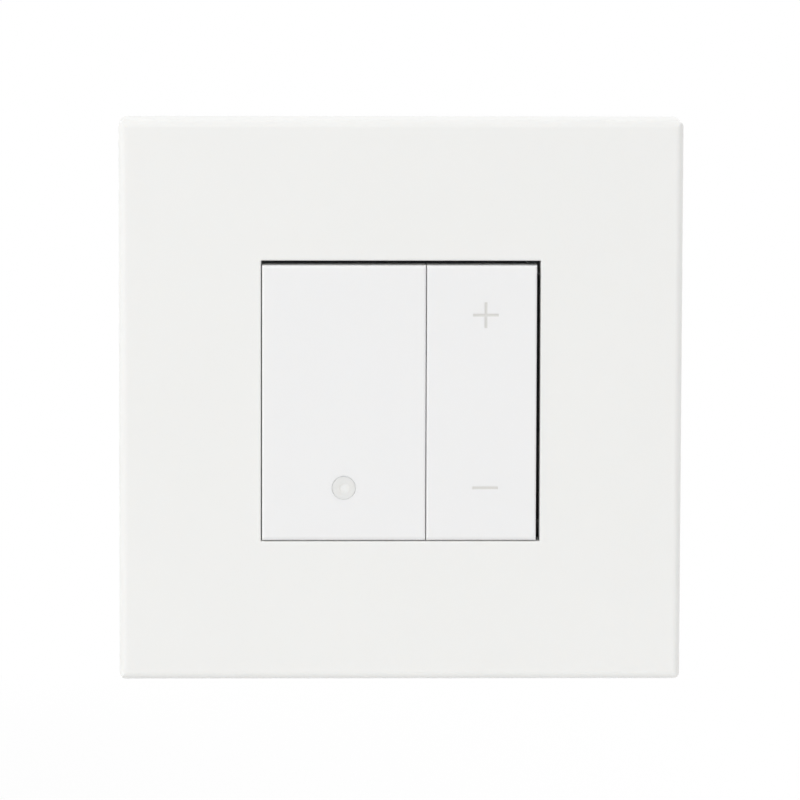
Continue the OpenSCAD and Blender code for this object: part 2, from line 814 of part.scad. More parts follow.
module rear_housing() {
    vent_w = 1.6;
    vent_step = 4;
    vent_len = 12;
    vent_z = 8;
    vent_front = 3;
    vent_rear = 2;
    support_r = 1.8;
    support_x = 15;
    barrier_half = 0.6;
    barrier_down = 7;
    barrier_up = 5;
    pip_r = 0.4;
    pip_step = 1.3;
    pip_deep = 0.4;
    pip_z = wire_r + 2 - wire_drop;
    gauge_w = 1.8;
    gauge_deep = 0.5;
    gauge_z = pip_z + 4;
    color([0.78, 0.79, 0.79])
        difference() {
            union() {
                difference() {
                    union() {
                        housing_block();
                        slab(control_y, flange_y) chassis_outline();
                    }
                    slab(control_y - past, housing_inner_y) housing_inside();
                }
                for (side = [-1, 1]) {
                    for (z = [-4, 11])
                        rod_y(support_r, side * support_x, z, power_back_y, housing_inner_y + eps);
                    translate([side * wire_pitch / 2, 0, -wire_drop])
                        box(
                            [-barrier_half, housing_back - eps, -barrier_down],
                            [barrier_half, housing_back + barrier_h, barrier_up]
                        );
                }
                for (i = [-1, 0, 1])
                    rod_y(
                        entry_boss_r, i * wire_pitch, -wire_drop,
                        entry_boss_y, housing_inner_y + eps
                    );
            }
            at_corners(screw_xz, screw_xz)
                rod_y(screw_hole_r, 0, 0, control_y - past, flange_y + past);
            for (i = [-1, 0, 1]) {
                rod_y(wire_r, i * wire_pitch, -wire_drop, entry_boss_y - past, housing_back + past);
                translate([i * wire_pitch, housing_back - entry_lead, -wire_drop])
                    rotate([-90, 0, 0])
                        cylinder(r1 = wire_r, r2 = wire_r + entry_lead, h = entry_lead);
                rod_z(
                    driver_r, i * wire_pitch, clamp_y,
                    -housing_w / 2 - past, -housing_in_w / 2 + past
                );
            }
            for (i = [-1, 0, 1], pip = [0:i + 1])
                rod_y(
                    pip_r, i * wire_pitch + (pip - (i + 1) / 2) * pip_step, pip_z,
                    housing_back - pip_deep, housing_back + 1
                );
            slab(housing_back - gauge_deep, housing_back + past)
                translate([0, gauge_z]) slot(gauge_len, gauge_w);
            for (i = [-2:2])
                translate([i * vent_step, 0, 0]) {
                    slab(housing_inner_y - past, housing_back + past)
                        translate([0, vent_z]) rotate(90) slot(vent_len, vent_w);
                    box(
                        [-vent_w / 2, flange_y + vent_front, housing_in_w / 2 - past],
                        [vent_w / 2, power_y - vent_rear, housing_w / 2 + past]
                    );
                }
        }
}

module housing_screws() {
    cross_deep = 0.6;
    cross_half = 1.2;
    cross_w = 0.5;
    color([0.7, 0.71, 0.72])
        at_corners(screw_xz, screw_xz)
            difference() {
                union() {
                    rod_y(screw_r, 0, 0, flange_y - screw_len, flange_y + eps);
                    rod_y(screw_head_r, 0, 0, flange_y, flange_y + screw_head_t);
                }
                for (turn = [0, 90])
                    rotate([0, turn, 0])
                        box(
                            [-cross_half, flange_y + screw_head_t - cross_deep, -cross_w / 2],
                            [cross_half, flange_y + screw_head_t + past, cross_w / 2]
                        );
            }
}

module key_spring() {
    color([0.75, 0.76, 0.78]) coil(on_off_x, on_off_spring_z, spring_y0, spring_y1, spring_turns);
}

module rocker_springs() {
    color([0.75, 0.76, 0.78])
        for (side = [-1, 1])
            coil(rocker_x, side * rocker_spring_z, spring_y0, spring_y1, spring_turns);
}

// The body of a push switch, open towards its board
module push_switch(x, z) {
    half = switch_w / 2;
    well_fit = 0.2;
    color([0.12, 0.12, 0.13])
        difference() {
            box([x - half, switch_y, z - half], [x + half, control_y, z + half]);
            rod_y(plunger_r + plunger_fit, x, z, switch_y - past, control_y + past);
            rod_y(plunger_flange_r + well_fit, x, z, switch_y + switch_lid, control_y + past);
        }
}

// A plunger with the flange that keeps it in its switch
module plunger(x, z) {
    color([0.85, 0.84, 0.8]) {
        rod_y(plunger_r, x, z, plunger_tip_y, plunger_flange_y + eps);
        rod_y(plunger_flange_r, x, z, plunger_flange_y, plunger_flange_y + plunger_flange_t);
    }
}

module on_off_switch() {
    push_switch(on_off_x, -on_off_drop);
}

module on_off_plunger() {
    plunger(on_off_x, -on_off_drop);
}

module brighten_switch() {
    push_switch(rocker_x, mark_rise);
}

module brighten_plunger() {
    plunger(rocker_x, mark_rise);
}

module darken_switch() {
    push_switch(rocker_x, -mark_rise);
}

module darken_plunger() {
    plunger(rocker_x, -mark_rise);
}

module indicator_led() {
    led_w = 3;
    lens_r = 1.2;
    lens_h = 0.5;
    lens_y = control_y - led_t;
    base_y = lens_y + lens_h;
    color([0.96, 0.95, 0.85]) {
        translate([on_off_x, 0, -ring_drop])
            box([-led_w / 2, base_y, -led_w / 2], [led_w / 2, control_y, led_w / 2]);
        rod_y(lens_r, on_off_x, -ring_drop, lens_y, base_y + eps);
    }
}

// A board that fits inside the housing
module board(y) {
    slab(y, y + board_t)
        cut_square(board_w, corner_line - (housing_wall + board_fit) * root_two);
}

module control_board() {
    color([0.1, 0.36, 0.2]) board(control_y);
}

module power_board() {
    color([0.1, 0.36, 0.2]) board(power_y);
}

module controller_chip() {
    chip = [5, 1.6, 4];
    chip_x = 8;
    chip_z = -2;
    chip_standoff = 0.1;
    leg = [0.4, 0.5, 1.2];
    leg_step = 1.27;
    leg_z = chip.z / 2 + leg.z / 3;
    color([0.1, 0.1, 0.11])
        translate([chip_x, control_back_y, chip_z]) {
            box([-chip.x / 2, chip_standoff, -chip.z / 2], [chip.x / 2, chip.y, chip.z / 2]);
            for (i = [-1.5:1.5], side = [-1, 1])
                translate([i * leg_step, 0, side * leg_z])
                    box([-leg.x / 2, 0, -leg.z / 2], [leg.x / 2, leg.y, leg.z / 2]);
        }
}

module chip_resistors() {
    chip = [2, 0.55, 1.2];
    first = [0, 0, 3.4];
    step = [3.2, 0, 2.4];
    color([0.13, 0.13, 0.14])
        for (i = [0:3], row = [0, 1])
            translate([first.x + i * step.x, control_back_y, first.z + row * step.z])
                cube(chip);
}

module board_header() {
    half = header_ways * header_pitch / 2;
    half_t = header_block / 2;
    color([0.12, 0.12, 0.13])
        for (y = [control_back_y, power_y - header_block])
            translate([header_x, y, header_z])
                box([-half, 0, -half_t], [half, header_block, half_t]);
}

module header_pins() {
    pin = 0.32;
    y0 = control_back_y + header_block;
    y1 = power_y - header_block;
    first = header_x - (header_ways - 1) * header_pitch / 2;
    color([0.8, 0.68, 0.35])
        for (i = [0:header_ways - 1])
            translate([first + i * header_pitch, 0, header_z])
                box([-pin, y0, -pin], [pin, y1, pin]);
}

module choke_core() {
    color([0.25, 0.26, 0.27])
        difference() {
            rod_y(choke_ring_r + core_half, choke_x, choke_z, choke_y - core_half, choke_y + core_half);
            rod_y(
                choke_ring_r - core_half, choke_x, choke_z,
                choke_y - core_half - past, choke_y + core_half + 1
            );
        }
}

module choke_winding() {
    color([0.72, 0.4, 0.2])
        translate([choke_x, choke_y, choke_z])
            for (i = [0:loop_count - 1])
                rotate([0, 360 * i / loop_count, 0])
                    translate([choke_ring_r, 0, 0])
                        rotate_extrude() translate([loop_r, 0]) circle(loop_wire_r);
}

module suppression_capacitor() {
    case = [6, 11, 13];
    case_x = 1.5;
    case_z = -9;
    color([0.85, 0.65, 0.15])
        translate([case_x, power_y - case.y, case_z]) cube(case);
}

module smoothing_capacitor() {
    can_r = 4;
    can_x = 13.2;
    can_z = -11.6;
    can_len = 11;
    crimp_r = 0.4;
    crimp_up = 1.8;
    color([0.12, 0.14, 0.2])
        difference() {
            rod_y(can_r, can_x, can_z, power_y - can_len, power_y);
            translate([can_x, power_y - crimp_up, can_z])
                rotate([-90, 0, 0])
                    rotate_extrude() translate([can_r, 0]) circle(crimp_r);
        }
}

module fuse_tube() {
    tube_wall = 0.4;
    color([0.85, 0.9, 0.92, 0.5])
        difference() {
            rod_z(fuse_r, fuse_x, fuse_y, fuse_z0, fuse_z1);
            rod_z(fuse_r - tube_wall, fuse_x, fuse_y, fuse_z0 - past, fuse_z1 + past);
        }
}

module fuse_caps() {
    cap_r = fuse_r + fuse_cap_lip;
    cap_len = 2;
    color([0.75, 0.76, 0.78]) {
        rod_z(cap_r, fuse_x, fuse_y, fuse_z0 - cap_len, fuse_z0);
        rod_z(cap_r, fuse_x, fuse_y, fuse_z1, fuse_z1 + cap_len);
    }
}

module triac_body() {
    color([0.1, 0.1, 0.11])
        box([triac_x0, triac_y0, tab_z0 - triac_body_t], [triac_x1, triac_y1, tab_z0]);
}

module triac_tab() {
    color([0.75, 0.76, 0.78])
        difference() {
            box([triac_x0, triac_y0, tab_z0], [triac_tab_x1, triac_y1, tab_z0 + tab_t]);
            rod_z(
                triac_screw_r + triac_hole_fit, triac_screw_x, triac_y,
                tab_z0 - past, tab_z0 + tab_t + past
            );
        }
}

module triac_leads() {
    lead_w = 0.8;
    lead_t = 0.7;
    lead_z0 = tab_z0 - triac_body_t / 2 - lead_t / 2;
    lead_z1 = lead_z0 + lead_t;
    bend_out = 3.4;
    bend_step = 1.5;
    color([0.75, 0.76, 0.78])
        for (i = [-1, 0, 1]) {
            y0 = triac_y + i * lead_pitch - lead_w / 2;
            bend_x = triac_x0 - bend_out + i * bend_step;
            box([bend_x, y0, lead_z0], [triac_x0, y0 + lead_w, lead_z1]);
            box([bend_x, y0, lead_z0], [bend_x + lead_w, power_y, lead_z1]);
        }
}

module insulating_pad() {
    pad_lip = 0.45;
    color([0.6, 0.62, 0.66])
        difference() {
            box(
                [triac_x0 - pad_lip, triac_y0 - pad_lip, sink_z0 - pad_t],
                [triac_tab_x1 + pad_lip, triac_y1 + pad_lip, sink_z0]
            );
            rod_z(
                triac_screw_r + triac_hole_fit, triac_screw_x, triac_y,
                sink_z0 - past, sink_z0 + past
            );
        }
}

module heat_sink() {
    sink_half = 12.5;
    sink_lip = 0.8;
    color([0.72, 0.73, 0.75])
        difference() {
            box(
                [-sink_half, triac_y0 - sink_lip, sink_z0],
                [sink_half, triac_y1 + sink_lip, sink_z0 + sink_t]
            );
            rod_z(
                triac_screw_r + screw_fit, triac_screw_x, triac_y,
                sink_z0 - past, sink_z0 + sink_t + 1
            );
        }
}

module triac_screw() {
    head_r = 2.6;
    head_t = 1.8;
    groove_w = 0.7;
    groove_deep = 0.7;
    color([0.7, 0.71, 0.72])
        difference() {
            union() {
                rod_z(triac_screw_r, triac_screw_x, triac_y, tab_z0 - eps, sink_z0 + sink_t);
                rod_z(head_r, triac_screw_x, triac_y, tab_z0 - head_t, tab_z0);
            }
            translate([triac_screw_x, triac_y, tab_z0 - head_t])
                box(
                    [-head_r - past, -groove_w / 2, -past],
                    [head_r + past, groove_w / 2, groove_deep]
                );
        }
}

module terminal_cages() {
    half = cage_in_w / 2;
    color([0.8, 0.66, 0.3])
        for (i = [-1, 0, 1])
            translate([i * wire_pitch, 0, 0])
                difference() {
                    box(
                        [-half - cage_wall, power_back_y, cage_z0],
                        [half + cage_wall, cage_y1, cage_z1]
                    );
                    box(
                        [-half, power_back_y + cage_wall, cage_z0 + cage_wall],
                        [half, cage_y1 + past, cage_z1 - cage_wall]
                    );
                    rod_z(clamp_r + screw_fit, 0, clamp_y, cage_z0 - past, cage_z0 + cage_wall + past);
                }
}

module terminal_screws() {
    head_gap_z = 0.2;
    head_z = cage_z0 - head_gap_z;
    groove_w = 0.8;
    groove_deep = 0.8;
    color([0.7, 0.71, 0.72])
        for (i = [-1, 0, 1])
            translate([i * wire_pitch, clamp_y, 0])
                difference() {
                    union() {
                        rod_z(clamp_r, 0, 0, head_z - eps, clamp_top - clamp_t);
                        rod_z(clamp_head_r, 0, 0, head_z - clamp_head_t, head_z);
                    }
                    box(
                        [-clamp_head_r - past, -groove_w / 2, head_z - clamp_head_t - past],
                        [clamp_head_r + past, groove_w / 2, head_z - clamp_head_t + groove_deep]
                    );
                }
}

module clamp_plates() {
    clamp_play = 0.15;
    clamp_len = 6;
    half = cage_in_w / 2 - clamp_play;
    color([0.75, 0.76, 0.78])
        for (i = [-1, 0, 1])
            translate([i * wire_pitch, clamp_y, 0])
                box([-half, -clamp_len / 2, clamp_top - clamp_t], [half, clamp_len / 2, clamp_top]);
}

cover_plate();
on_off_key();
light_guide();
dim_rocker();
support_frame();
chassis();
rear_housing();
housing_screws();
key_spring();
rocker_springs();
on_off_switch();
on_off_plunger();
brighten_switch();
brighten_plunger();
darken_switch();
darken_plunger();
indicator_led();
control_board();
controller_chip();
chip_resistors();
board_header();
header_pins();
power_board();
choke_core();
choke_winding();
suppression_capacitor();
smoothing_capacitor();
fuse_tube();
fuse_caps();
triac_body();
triac_tab();
triac_leads();
insulating_pad();
heat_sink();
triac_screw();
terminal_cages();
terminal_screws();
clamp_plates();
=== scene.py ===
"""Finishes, wound wire, solder, studio and camera of a push-key wall dimmer, built around its frame.

The frame's axes hold throughout, in metres: X to the right, Y into the wall, Z up.
"""

import logging
import math
from dataclasses import dataclass, replace
from enum import Enum
from typing import Any

import bpy
import numpy as np
from bpy.types import Material, Node, NodeSocket as Socket, NodeTree as Tree, Object, World
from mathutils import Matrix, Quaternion, Vector


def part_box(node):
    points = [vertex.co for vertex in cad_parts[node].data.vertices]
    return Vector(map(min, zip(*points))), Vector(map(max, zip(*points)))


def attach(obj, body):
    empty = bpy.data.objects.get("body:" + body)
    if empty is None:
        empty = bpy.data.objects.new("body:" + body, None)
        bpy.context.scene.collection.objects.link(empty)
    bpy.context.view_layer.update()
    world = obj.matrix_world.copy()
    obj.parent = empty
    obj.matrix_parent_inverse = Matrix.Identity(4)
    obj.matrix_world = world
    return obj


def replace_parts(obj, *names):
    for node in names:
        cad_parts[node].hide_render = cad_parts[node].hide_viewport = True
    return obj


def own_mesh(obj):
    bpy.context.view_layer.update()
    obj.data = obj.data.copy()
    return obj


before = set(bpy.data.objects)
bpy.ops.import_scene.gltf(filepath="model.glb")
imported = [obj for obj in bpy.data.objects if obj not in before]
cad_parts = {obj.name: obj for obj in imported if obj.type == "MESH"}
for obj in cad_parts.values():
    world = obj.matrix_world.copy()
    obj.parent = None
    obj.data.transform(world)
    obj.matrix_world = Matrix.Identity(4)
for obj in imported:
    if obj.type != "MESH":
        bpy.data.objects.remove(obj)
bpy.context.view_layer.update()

MM = 0.001
MICRON = 1.0e-6
SHARP_ANGLE = math.radians(50.0)
LOG = logging.getLogger("dimmer")

Rgb = tuple[int, int, int]
Rgba = tuple[float, float, float, float]
Range = tuple[float, float]
Point = tuple[float, float, float]
Face = list[int]
Surface = tuple[np.ndarray, list[Face]]

WHOLE: Range = (0.0, 1.0)
WHITE: Rgba = (1.0, 1.0, 1.0, 1.0)


class Grain(Enum):
    """How coarse a moulded surface is: grains per metre, and the relief's depth in metres."""

    POLISHED = (5200.0, 0.4 * MICRON)
    SATIN = (4200.0, 1.2 * MICRON)
    SPARK = (2600.0, 9.0 * MICRON)
    SINTERED = (3400.0, 14.0 * MICRON)


class Lay(Enum):
    """Which way the lines of a rolled or drawn metal run, as stretch factors along X, Y and Z."""

    ALONG_X = (0.04, 1.0, 1.0)
    ALONG_Y = (1.0, 0.04, 1.0)
    ALONG_Z = (1.0, 1.0, 0.04)
    CLOUDY = (0.6, 0.6, 0.6)


class Form(Enum):
    """The outline of a coloured mark: a box, or a disc about an axis along Y."""

    BOX = "box"
    DISC = "disc"


def linear(colour: Rgb, share: float = 1.0) -> Rgba:
    """Turns a display colour into the linear one that a shader takes.

    Args:
        colour: red, green and blue from 0 to 255.
        share: brightness factor applied to the linear colour.

    Returns:
        Linear red, green, blue and an alpha of 1.
    """
    display = np.asarray(colour, float) / 255.0
    low = display / 12.92
    high = ((display + 0.055) / 1.055) ** 2.4
    value = np.where(display <= 0.04045, low, high) * share
    red, green, blue = np.clip(value, *WHOLE)
    return float(red), float(green), float(blue), 1.0


def about(value: float, spread: float) -> Range:
    """Returns the range that a spread covers about its middle value."""
    return value - spread / 2, value + spread / 2


@dataclass(frozen=True)
class Noise:
    """A noise pattern: its features per metre, its octaves, and how much each octave counts."""

    scale: float = 1.0
    detail: float = 2.0
    falloff: float = 0.5


class Graph:
    """Adds shader nodes to one tree and links them."""

    def __init__(self, tree: Tree) -> None:
        """Keeps the tree that nodes are added to."""
        self.tree = tree

    def put(self, socket: Socket, value: Any) -> None:
        """Links a socket to another one, or sets its plain value.

        Args:
            socket: the input to fill.
            value: an output socket, or a plain value.
        """
        if isinstance(value, Socket):
            self.tree.links.new(value, socket)
        else:
            socket.default_value = value

    def add(self, kind: str, inputs: dict[Any, Any], **settings: Any) -> Node:
        """Adds one node.

        Args:
            kind: the node's type, without its ShaderNode prefix.
            inputs: input name or index to a value or a socket.
            **settings: the node's own properties.

        Returns:
            The new node.
        """
        node = self.tree.nodes.new("ShaderNode" + kind)
        for key, value in settings.items():
            setattr(node, key, value)
        for key, value in inputs.items():
            self.put(node.inputs[key], value)
        return node

    def group(self, tree: Tree, inputs: dict[str, Any]) -> Any:
        """Returns the outputs of a shader group that is placed with these inputs."""
        return self.add("Group", inputs, node_tree=tree).outputs

    def calc(self, operation: str, first: Any, second: Any = 0.0) -> Socket:
        """Returns the result of one arithmetic node."""
        return self.add("Math", {0: first, 1: second}, operation=operation).outputs[0]

    def vector(self, operation: str, first: Any, second: Any) -> Socket:
        """Returns the result of one vector node."""
        return self.add("VectorMath", {0: first, 1: second}, operation=operation).outputs[0]

    def length(self, offset: Socket, shown: Point) -> Socket:
        """Returns the length of a vector, of which only the axes with a factor of 1 count."""
        flat = self.vector("MULTIPLY", offset, shown)
        return self.add("VectorMath", {0: flat}, operation="LENGTH").outputs["Value"]

    def fit(self, value: Socket, source: Range, target: Range = WHOLE) -> Socket:
        """Returns a value that is mapped from one range to another and held at the ends."""
        inputs = {"Value": value, 1: source[0], 2: source[1], 3: target[0], 4: target[1]}
        return self.add("MapRange", inputs).outputs[0]

    def noise(self, point: Socket, pattern: Noise, scale: Socket | None = None) -> Socket:
        """Returns a noise about 0.5; a scale that is given stands in for the pattern's own."""
        inputs = {"Vector": point, "Scale": pattern.scale if scale is None else scale,
                  "Detail": pattern.detail, "Roughness": pattern.falloff}
        return self.add("TexNoise", inputs).outputs[0]

    def blend(self, share: Any, first: Any, second: Any) -> Socket:
        """Returns a colour between two others: the first at a share of 0, the second at 1."""
        inputs = {"Factor": share, 6: first, 7: second}
        return self.add("Mix", inputs, data_type="RGBA").outputs[2]

    def bump(self, height: Socket, depth: float) -> Socket:
        """Returns the normal of a relief whose height runs from 0 to 1 over a depth in metres."""
        inputs = {"Height": height, "Distance": depth, "Strength": 1.0}
        return self.add("Bump", inputs).outputs[0]

    def place(self) -> Socket:
        """Returns the point being shaded, in the frame's own metres."""
        return self.add("TexCoord", {}).outputs["Object"]

    def either(self, share: Socket, first: Node, second: Node) -> Node:
        """Returns a mix of two shaders: the first at a share of 0, the second at 1."""
        return self.add("MixShader", {0: share, 1: first.outputs[0], 2: second.outputs[0]})


def bare_graph(holder: Material | World) -> Graph:
    """Returns the emptied graph of a new material or world."""
    holder.use_nodes = True
    holder.node_tree.nodes.clear()
    return Graph(holder.node_tree)


class Effects:
    """Shader groups that several finishes share, each made once.

    A span is where nearly all of a noise's values lie; it is stretched to the range from 0 to 1.
    """

    SPAN: Range = (0.3, 0.7)
    GRAINS = Noise(detail=3.0)
    PIT_SIZE = 0.45
    PIT_SPAN: Range = (0.1, 0.8)
    PIT_SHARE = 0.4
    CLOUDS = Noise(45.0, 4.0, 0.55)
    HAZE = Noise(170.0, 5.0, 0.6)
    LINES = Noise(detail=4.0)
    BANDS = Noise(420.0)
    BAND_SPAN: Range = (0.35, 0.65)
    PATCHES = Noise(detail=5.0)
    PATCH_SPAN: Range = (0.5, 0.68)
    SCRATCHES = Noise(3000.0)
    SCRATCH_LAY: Point = (1.0, 1.0, 0.08)
    SCRATCH_SPAN: Range = (0.45, 0.7)
    SCRATCH_RANGE: Range = (0.3, 1.0)
    RIM: Range = (0.8, 1.1)

    def __init__(self) -> None:
        """Makes every group."""
        self.grain = self._grain()
        self.lines = self._lines()
        self.stain = self._stain()
        self.box = self._box()
        self.disc = self._disc()

    @staticmethod
    def _open(name: str, inputs: dict[str, str], outputs: list[str]) -> tuple[Graph, Any, Any]:
        """Starts a group.

        Args:
            name: the group's name.
            inputs: name of each input to its kind, Float or Vector.
            outputs: names of the values that it puts out.

        Returns:
            The group's graph, the outputs of its input node and the inputs of its output node.
        """
        tree = bpy.data.node_groups.new(name, "ShaderNodeTree")
        for label, kind in inputs.items():
            tree.interface.new_socket(label, in_out="INPUT", socket_type="NodeSocket" + kind)
        for label in outputs:
            tree.interface.new_socket(label, in_out="OUTPUT", socket_type="NodeSocketFloat")
        given = tree.nodes.new("NodeGroupInput")
        result = tree.nodes.new("NodeGroupOutput")
        return Graph(tree), given.outputs, result.inputs

    def _grain(self) -> Tree:
        """Makes a moulded relief: fine noise over small pits, with slow clouds of tone and gloss.

        Returns:
            The group.
        """
        inputs = {"Point": "Vector", "Size": "Float"}
        graph, given, result = self._open("moulded_grain", inputs, ["Height", "Gloss", "Tone"])
        point, size = given["Point"], given["Size"]
        fine = graph.noise(point, self.GRAINS, size)
        pit_size = graph.calc("MULTIPLY", size, self.PIT_SIZE)
        pits = graph.add("TexVoronoi", {"Vector": point, "Scale": pit_size}).outputs["Distance"]
        fine_height = graph.calc("MULTIPLY", fine, 1.0 - self.PIT_SHARE)
        pit_height = graph.calc("MULTIPLY", graph.fit(pits, self.PIT_SPAN), self.PIT_SHARE)
        graph.put(result["Height"], graph.calc("ADD", fine_height, pit_height))
        graph.put(result["Gloss"], graph.fit(graph.noise(point, self.HAZE), self.SPAN))
        graph.put(result["Tone"], graph.fit(graph.noise(point, self.CLOUDS), self.SPAN))
        return graph.tree

    def _lines(self) -> Tree:
        """Makes the lines of a drawn or rolled metal: noise that is stretched along the lay.

        Returns:
            The group.
        """
        inputs = {"Point": "Vector", "Stretch": "Vector", "Size": "Float"}
        graph, given, result = self._open("drawn_lines", inputs, ["Lines", "Bands"])
        point = graph.vector("MULTIPLY", given["Point"], given["Stretch"])
        fine = graph.noise(point, self.LINES, given["Size"])
        graph.put(result["Lines"], graph.fit(fine, self.SPAN))
        graph.put(result["Bands"], graph.fit(graph.noise(point, self.BANDS), self.BAND_SPAN))
        return graph.tree

    def _stain(self) -> Tree:
        """Makes handling marks: patches of haze, broken up by fine scratches.

        Returns:
            The group.
        """
        inputs = {"Point": "Vector", "Size": "Float"}
        graph, given, result = self._open("handling_marks", inputs, ["Mask"])
        point = given["Point"]
        patches = graph.fit(graph.noise(point, self.PATCHES, given["Size"]), self.PATCH_SPAN)
        thin = graph.vector("MULTIPLY", point, self.SCRATCH_LAY)
        scratch = graph.noise(thin, self.SCRATCHES)
        scratches = graph.fit(scratch, self.SCRATCH_SPAN, self.SCRATCH_RANGE)
        graph.put(result["Mask"], graph.calc("MULTIPLY", patches, scratches))
        return graph.tree

    def _box(self) -> Tree:
        """Makes a mask that is 1 inside a box and 0 outside.

        A point is inside where the largest of its distances, each over its half size, is under 1.

        Returns:
            The group.
        """
        inputs = {"Point": "Vector", "Centre": "Vector", "Half": "Vector"}
        graph, given, result = self._open("box_mask", inputs, ["Mask"])
        offset = graph.vector("SUBTRACT", given["Point"], given["Centre"])
        distance = graph.add("VectorMath", {0: offset}, operation="ABSOLUTE").outputs[0]
        parts = graph.add("SeparateXYZ", {0: graph.vector("DIVIDE", distance, given["Half"])}).outputs
        widest = graph.calc("MAXIMUM", graph.calc("MAXIMUM", parts[0], parts[1]), parts[2])
        graph.put(result["Mask"], graph.calc("LESS_THAN", widest, 1.0))
        return graph.tree

    def _disc(self) -> Tree:
        """Makes a mask that is 1 near an axis along Y and 0 away from it, with a soft rim.

        Returns:
            The group.
        """
        inputs = {"Point": "Vector", "Centre": "Vector", "Radius": "Float"}
        graph, given, result = self._open("disc_mask", inputs, ["Mask"])
        offset = graph.vector("SUBTRACT", given["Point"], given["Centre"])
        reach = graph.length(offset, (1.0, 0.0, 1.0))
        share = graph.calc("DIVIDE", reach, given["Radius"])
        graph.put(result["Mask"], graph.fit(share, self.RIM, (1.0, 0.0)))
        return graph.tree


EFFECTS = Effects()


@dataclass(frozen=True)
class Mark:
    """A place of another colour on a moulding, such as paint in an engraved stroke."""

    centre: Point
    half: Point
    colour: Rgb
    form: Form = Form.BOX

    def mask(self, graph: Graph, point: Socket) -> Socket:
        """Draws the mark's outline.

        Args:
            graph: the material's graph.
            point: the point being shaded.

        Returns:
            1 inside the mark and 0 outside it.
        """
        inputs = {"Point": point, "Centre": self.centre}
        if self.form is Form.DISC:
            return graph.group(EFFECTS.disc, inputs | {"Radius": self.half[0]})["Mask"]
        return graph.group(EFFECTS.box, inputs | {"Half": self.half})["Mask"]


@dataclass(frozen=True)
class Finish:
    """What every finish has: its name, which is also the record's slot, its colour and its gloss."""

    name: str
    colour: Rgb
    roughness: float

    def material(self) -> Material:
        """Makes the finish's material the first time it is asked for.

        Returns:
            The material.
        """
        name = self.name + "_finish"
        found = bpy.data.materials.get(name)
        if found:
            return found
        made = bpy.data.materials.new(name)
        graph = bare_graph(made)
        shader = graph.add("BsdfPrincipled", {})
        self.dress(graph, shader.inputs)
        graph.add("OutputMaterial", {"Surface": shader.outputs[0]})
        return made

    def dress(self, graph: Graph, skin: Any) -> None:
        """Feeds the shader's inputs; each kind of finish has its own way."""
        raise NotImplementedError


@dataclass(frozen=True)
class Moulding(Finish):
    """Moulded plastic, resin or ceramic: a grained surface with slow changes of tone and gloss."""

    grain: Grain = Grain.SATIN
    spread: float = 0.03
    gloss_spread: float = 0.06
    translucency: float = 0.0
    bleed: float = 0.8 * MM
    bleed_tint: Point = (1.0, 0.95, 0.9)
    specular: float = 0.5
    marks: tuple[Mark, ...] = ()

    def dress(self, graph: Graph, skin: Any) -> None:
        """Varies colour, roughness and relief with the grain, then lays the marks over the colour.

        Args:
            graph: the material's graph.
            skin: the shader's inputs.
        """
        point = graph.place()
        size, depth = self.grain.value
        texture = graph.group(EFFECTS.grain, {"Point": point, "Size": size})
        deep, pale = (linear(self.colour, share) for share in about(1.0, self.spread))
        colour = graph.blend(texture["Tone"], deep, pale)
        for mark in self.marks:
            colour = graph.blend(mark.mask(graph, point), colour, linear(mark.colour))
        rough = graph.fit(texture["Gloss"], WHOLE, about(self.roughness, self.gloss_spread))
        graph.put(skin["Base Color"], colour)
        graph.put(skin["Roughness"], rough)
        graph.put(skin["Normal"], graph.bump(texture["Height"], depth))
        graph.put(skin["Specular IOR Level"], self.specular)
        graph.put(skin["Subsurface Weight"], self.translucency)
        graph.put(skin["Subsurface Radius"], self.bleed_tint)
        graph.put(skin["Subsurface Scale"], self.bleed)


@dataclass(frozen=True)
class Metal(Finish):
    """Plated, drawn or rolled metal: lines along the lay, and handling marks that dull it."""

    lay: Lay = Lay.CLOUDY
    line_size: float = 5200.0
    relief: float = 2.0 * MICRON
    bands: Range = (0.93, 1.05)
    gloss_spread: float = 0.12
    dull: Rgb = (120, 118, 112)
    worn_size: float = 260.0
    worn_share: float = 0.45
    worn_rough: float = 0.15
    coat: float = 0.0

    def dress(self, graph: Graph, skin: Any) -> None:
        """Varies colour and roughness with the lines, and darkens and roughens the handled places.

        Args:
            graph: the material's graph.
            skin: the shader's inputs.
        """
        point = graph.place()
        inputs = {"Point": point, "Stretch": self.lay.value, "Size": self.line_size}
        drawn = graph.group(EFFECTS.lines, inputs)
        worn = graph.group(EFFECTS.stain, {"Point": point, "Size": self.worn_size})["Mask"]
        deep, pale = (linear(self.colour, share) for share in self.bands)
        clean = graph.blend(drawn["Bands"], deep, pale)
        handled = graph.calc("MULTIPLY", worn, self.worn_share)
        rough = graph.fit(drawn["Lines"], WHOLE, about(self.roughness, self.gloss_spread))
        rougher = graph.calc("MULTIPLY", worn, self.worn_rough)
        graph.put(skin["Base Color"], graph.blend(handled, clean, linear(self.dull)))
        graph.put(skin["Roughness"], graph.calc("ADD", rough, rougher))
        graph.put(skin["Normal"], graph.bump(drawn["Lines"], self.relief))
        graph.put(skin["Metallic"], 1.0)
        graph.put(skin["Coat Weight"], self.coat)


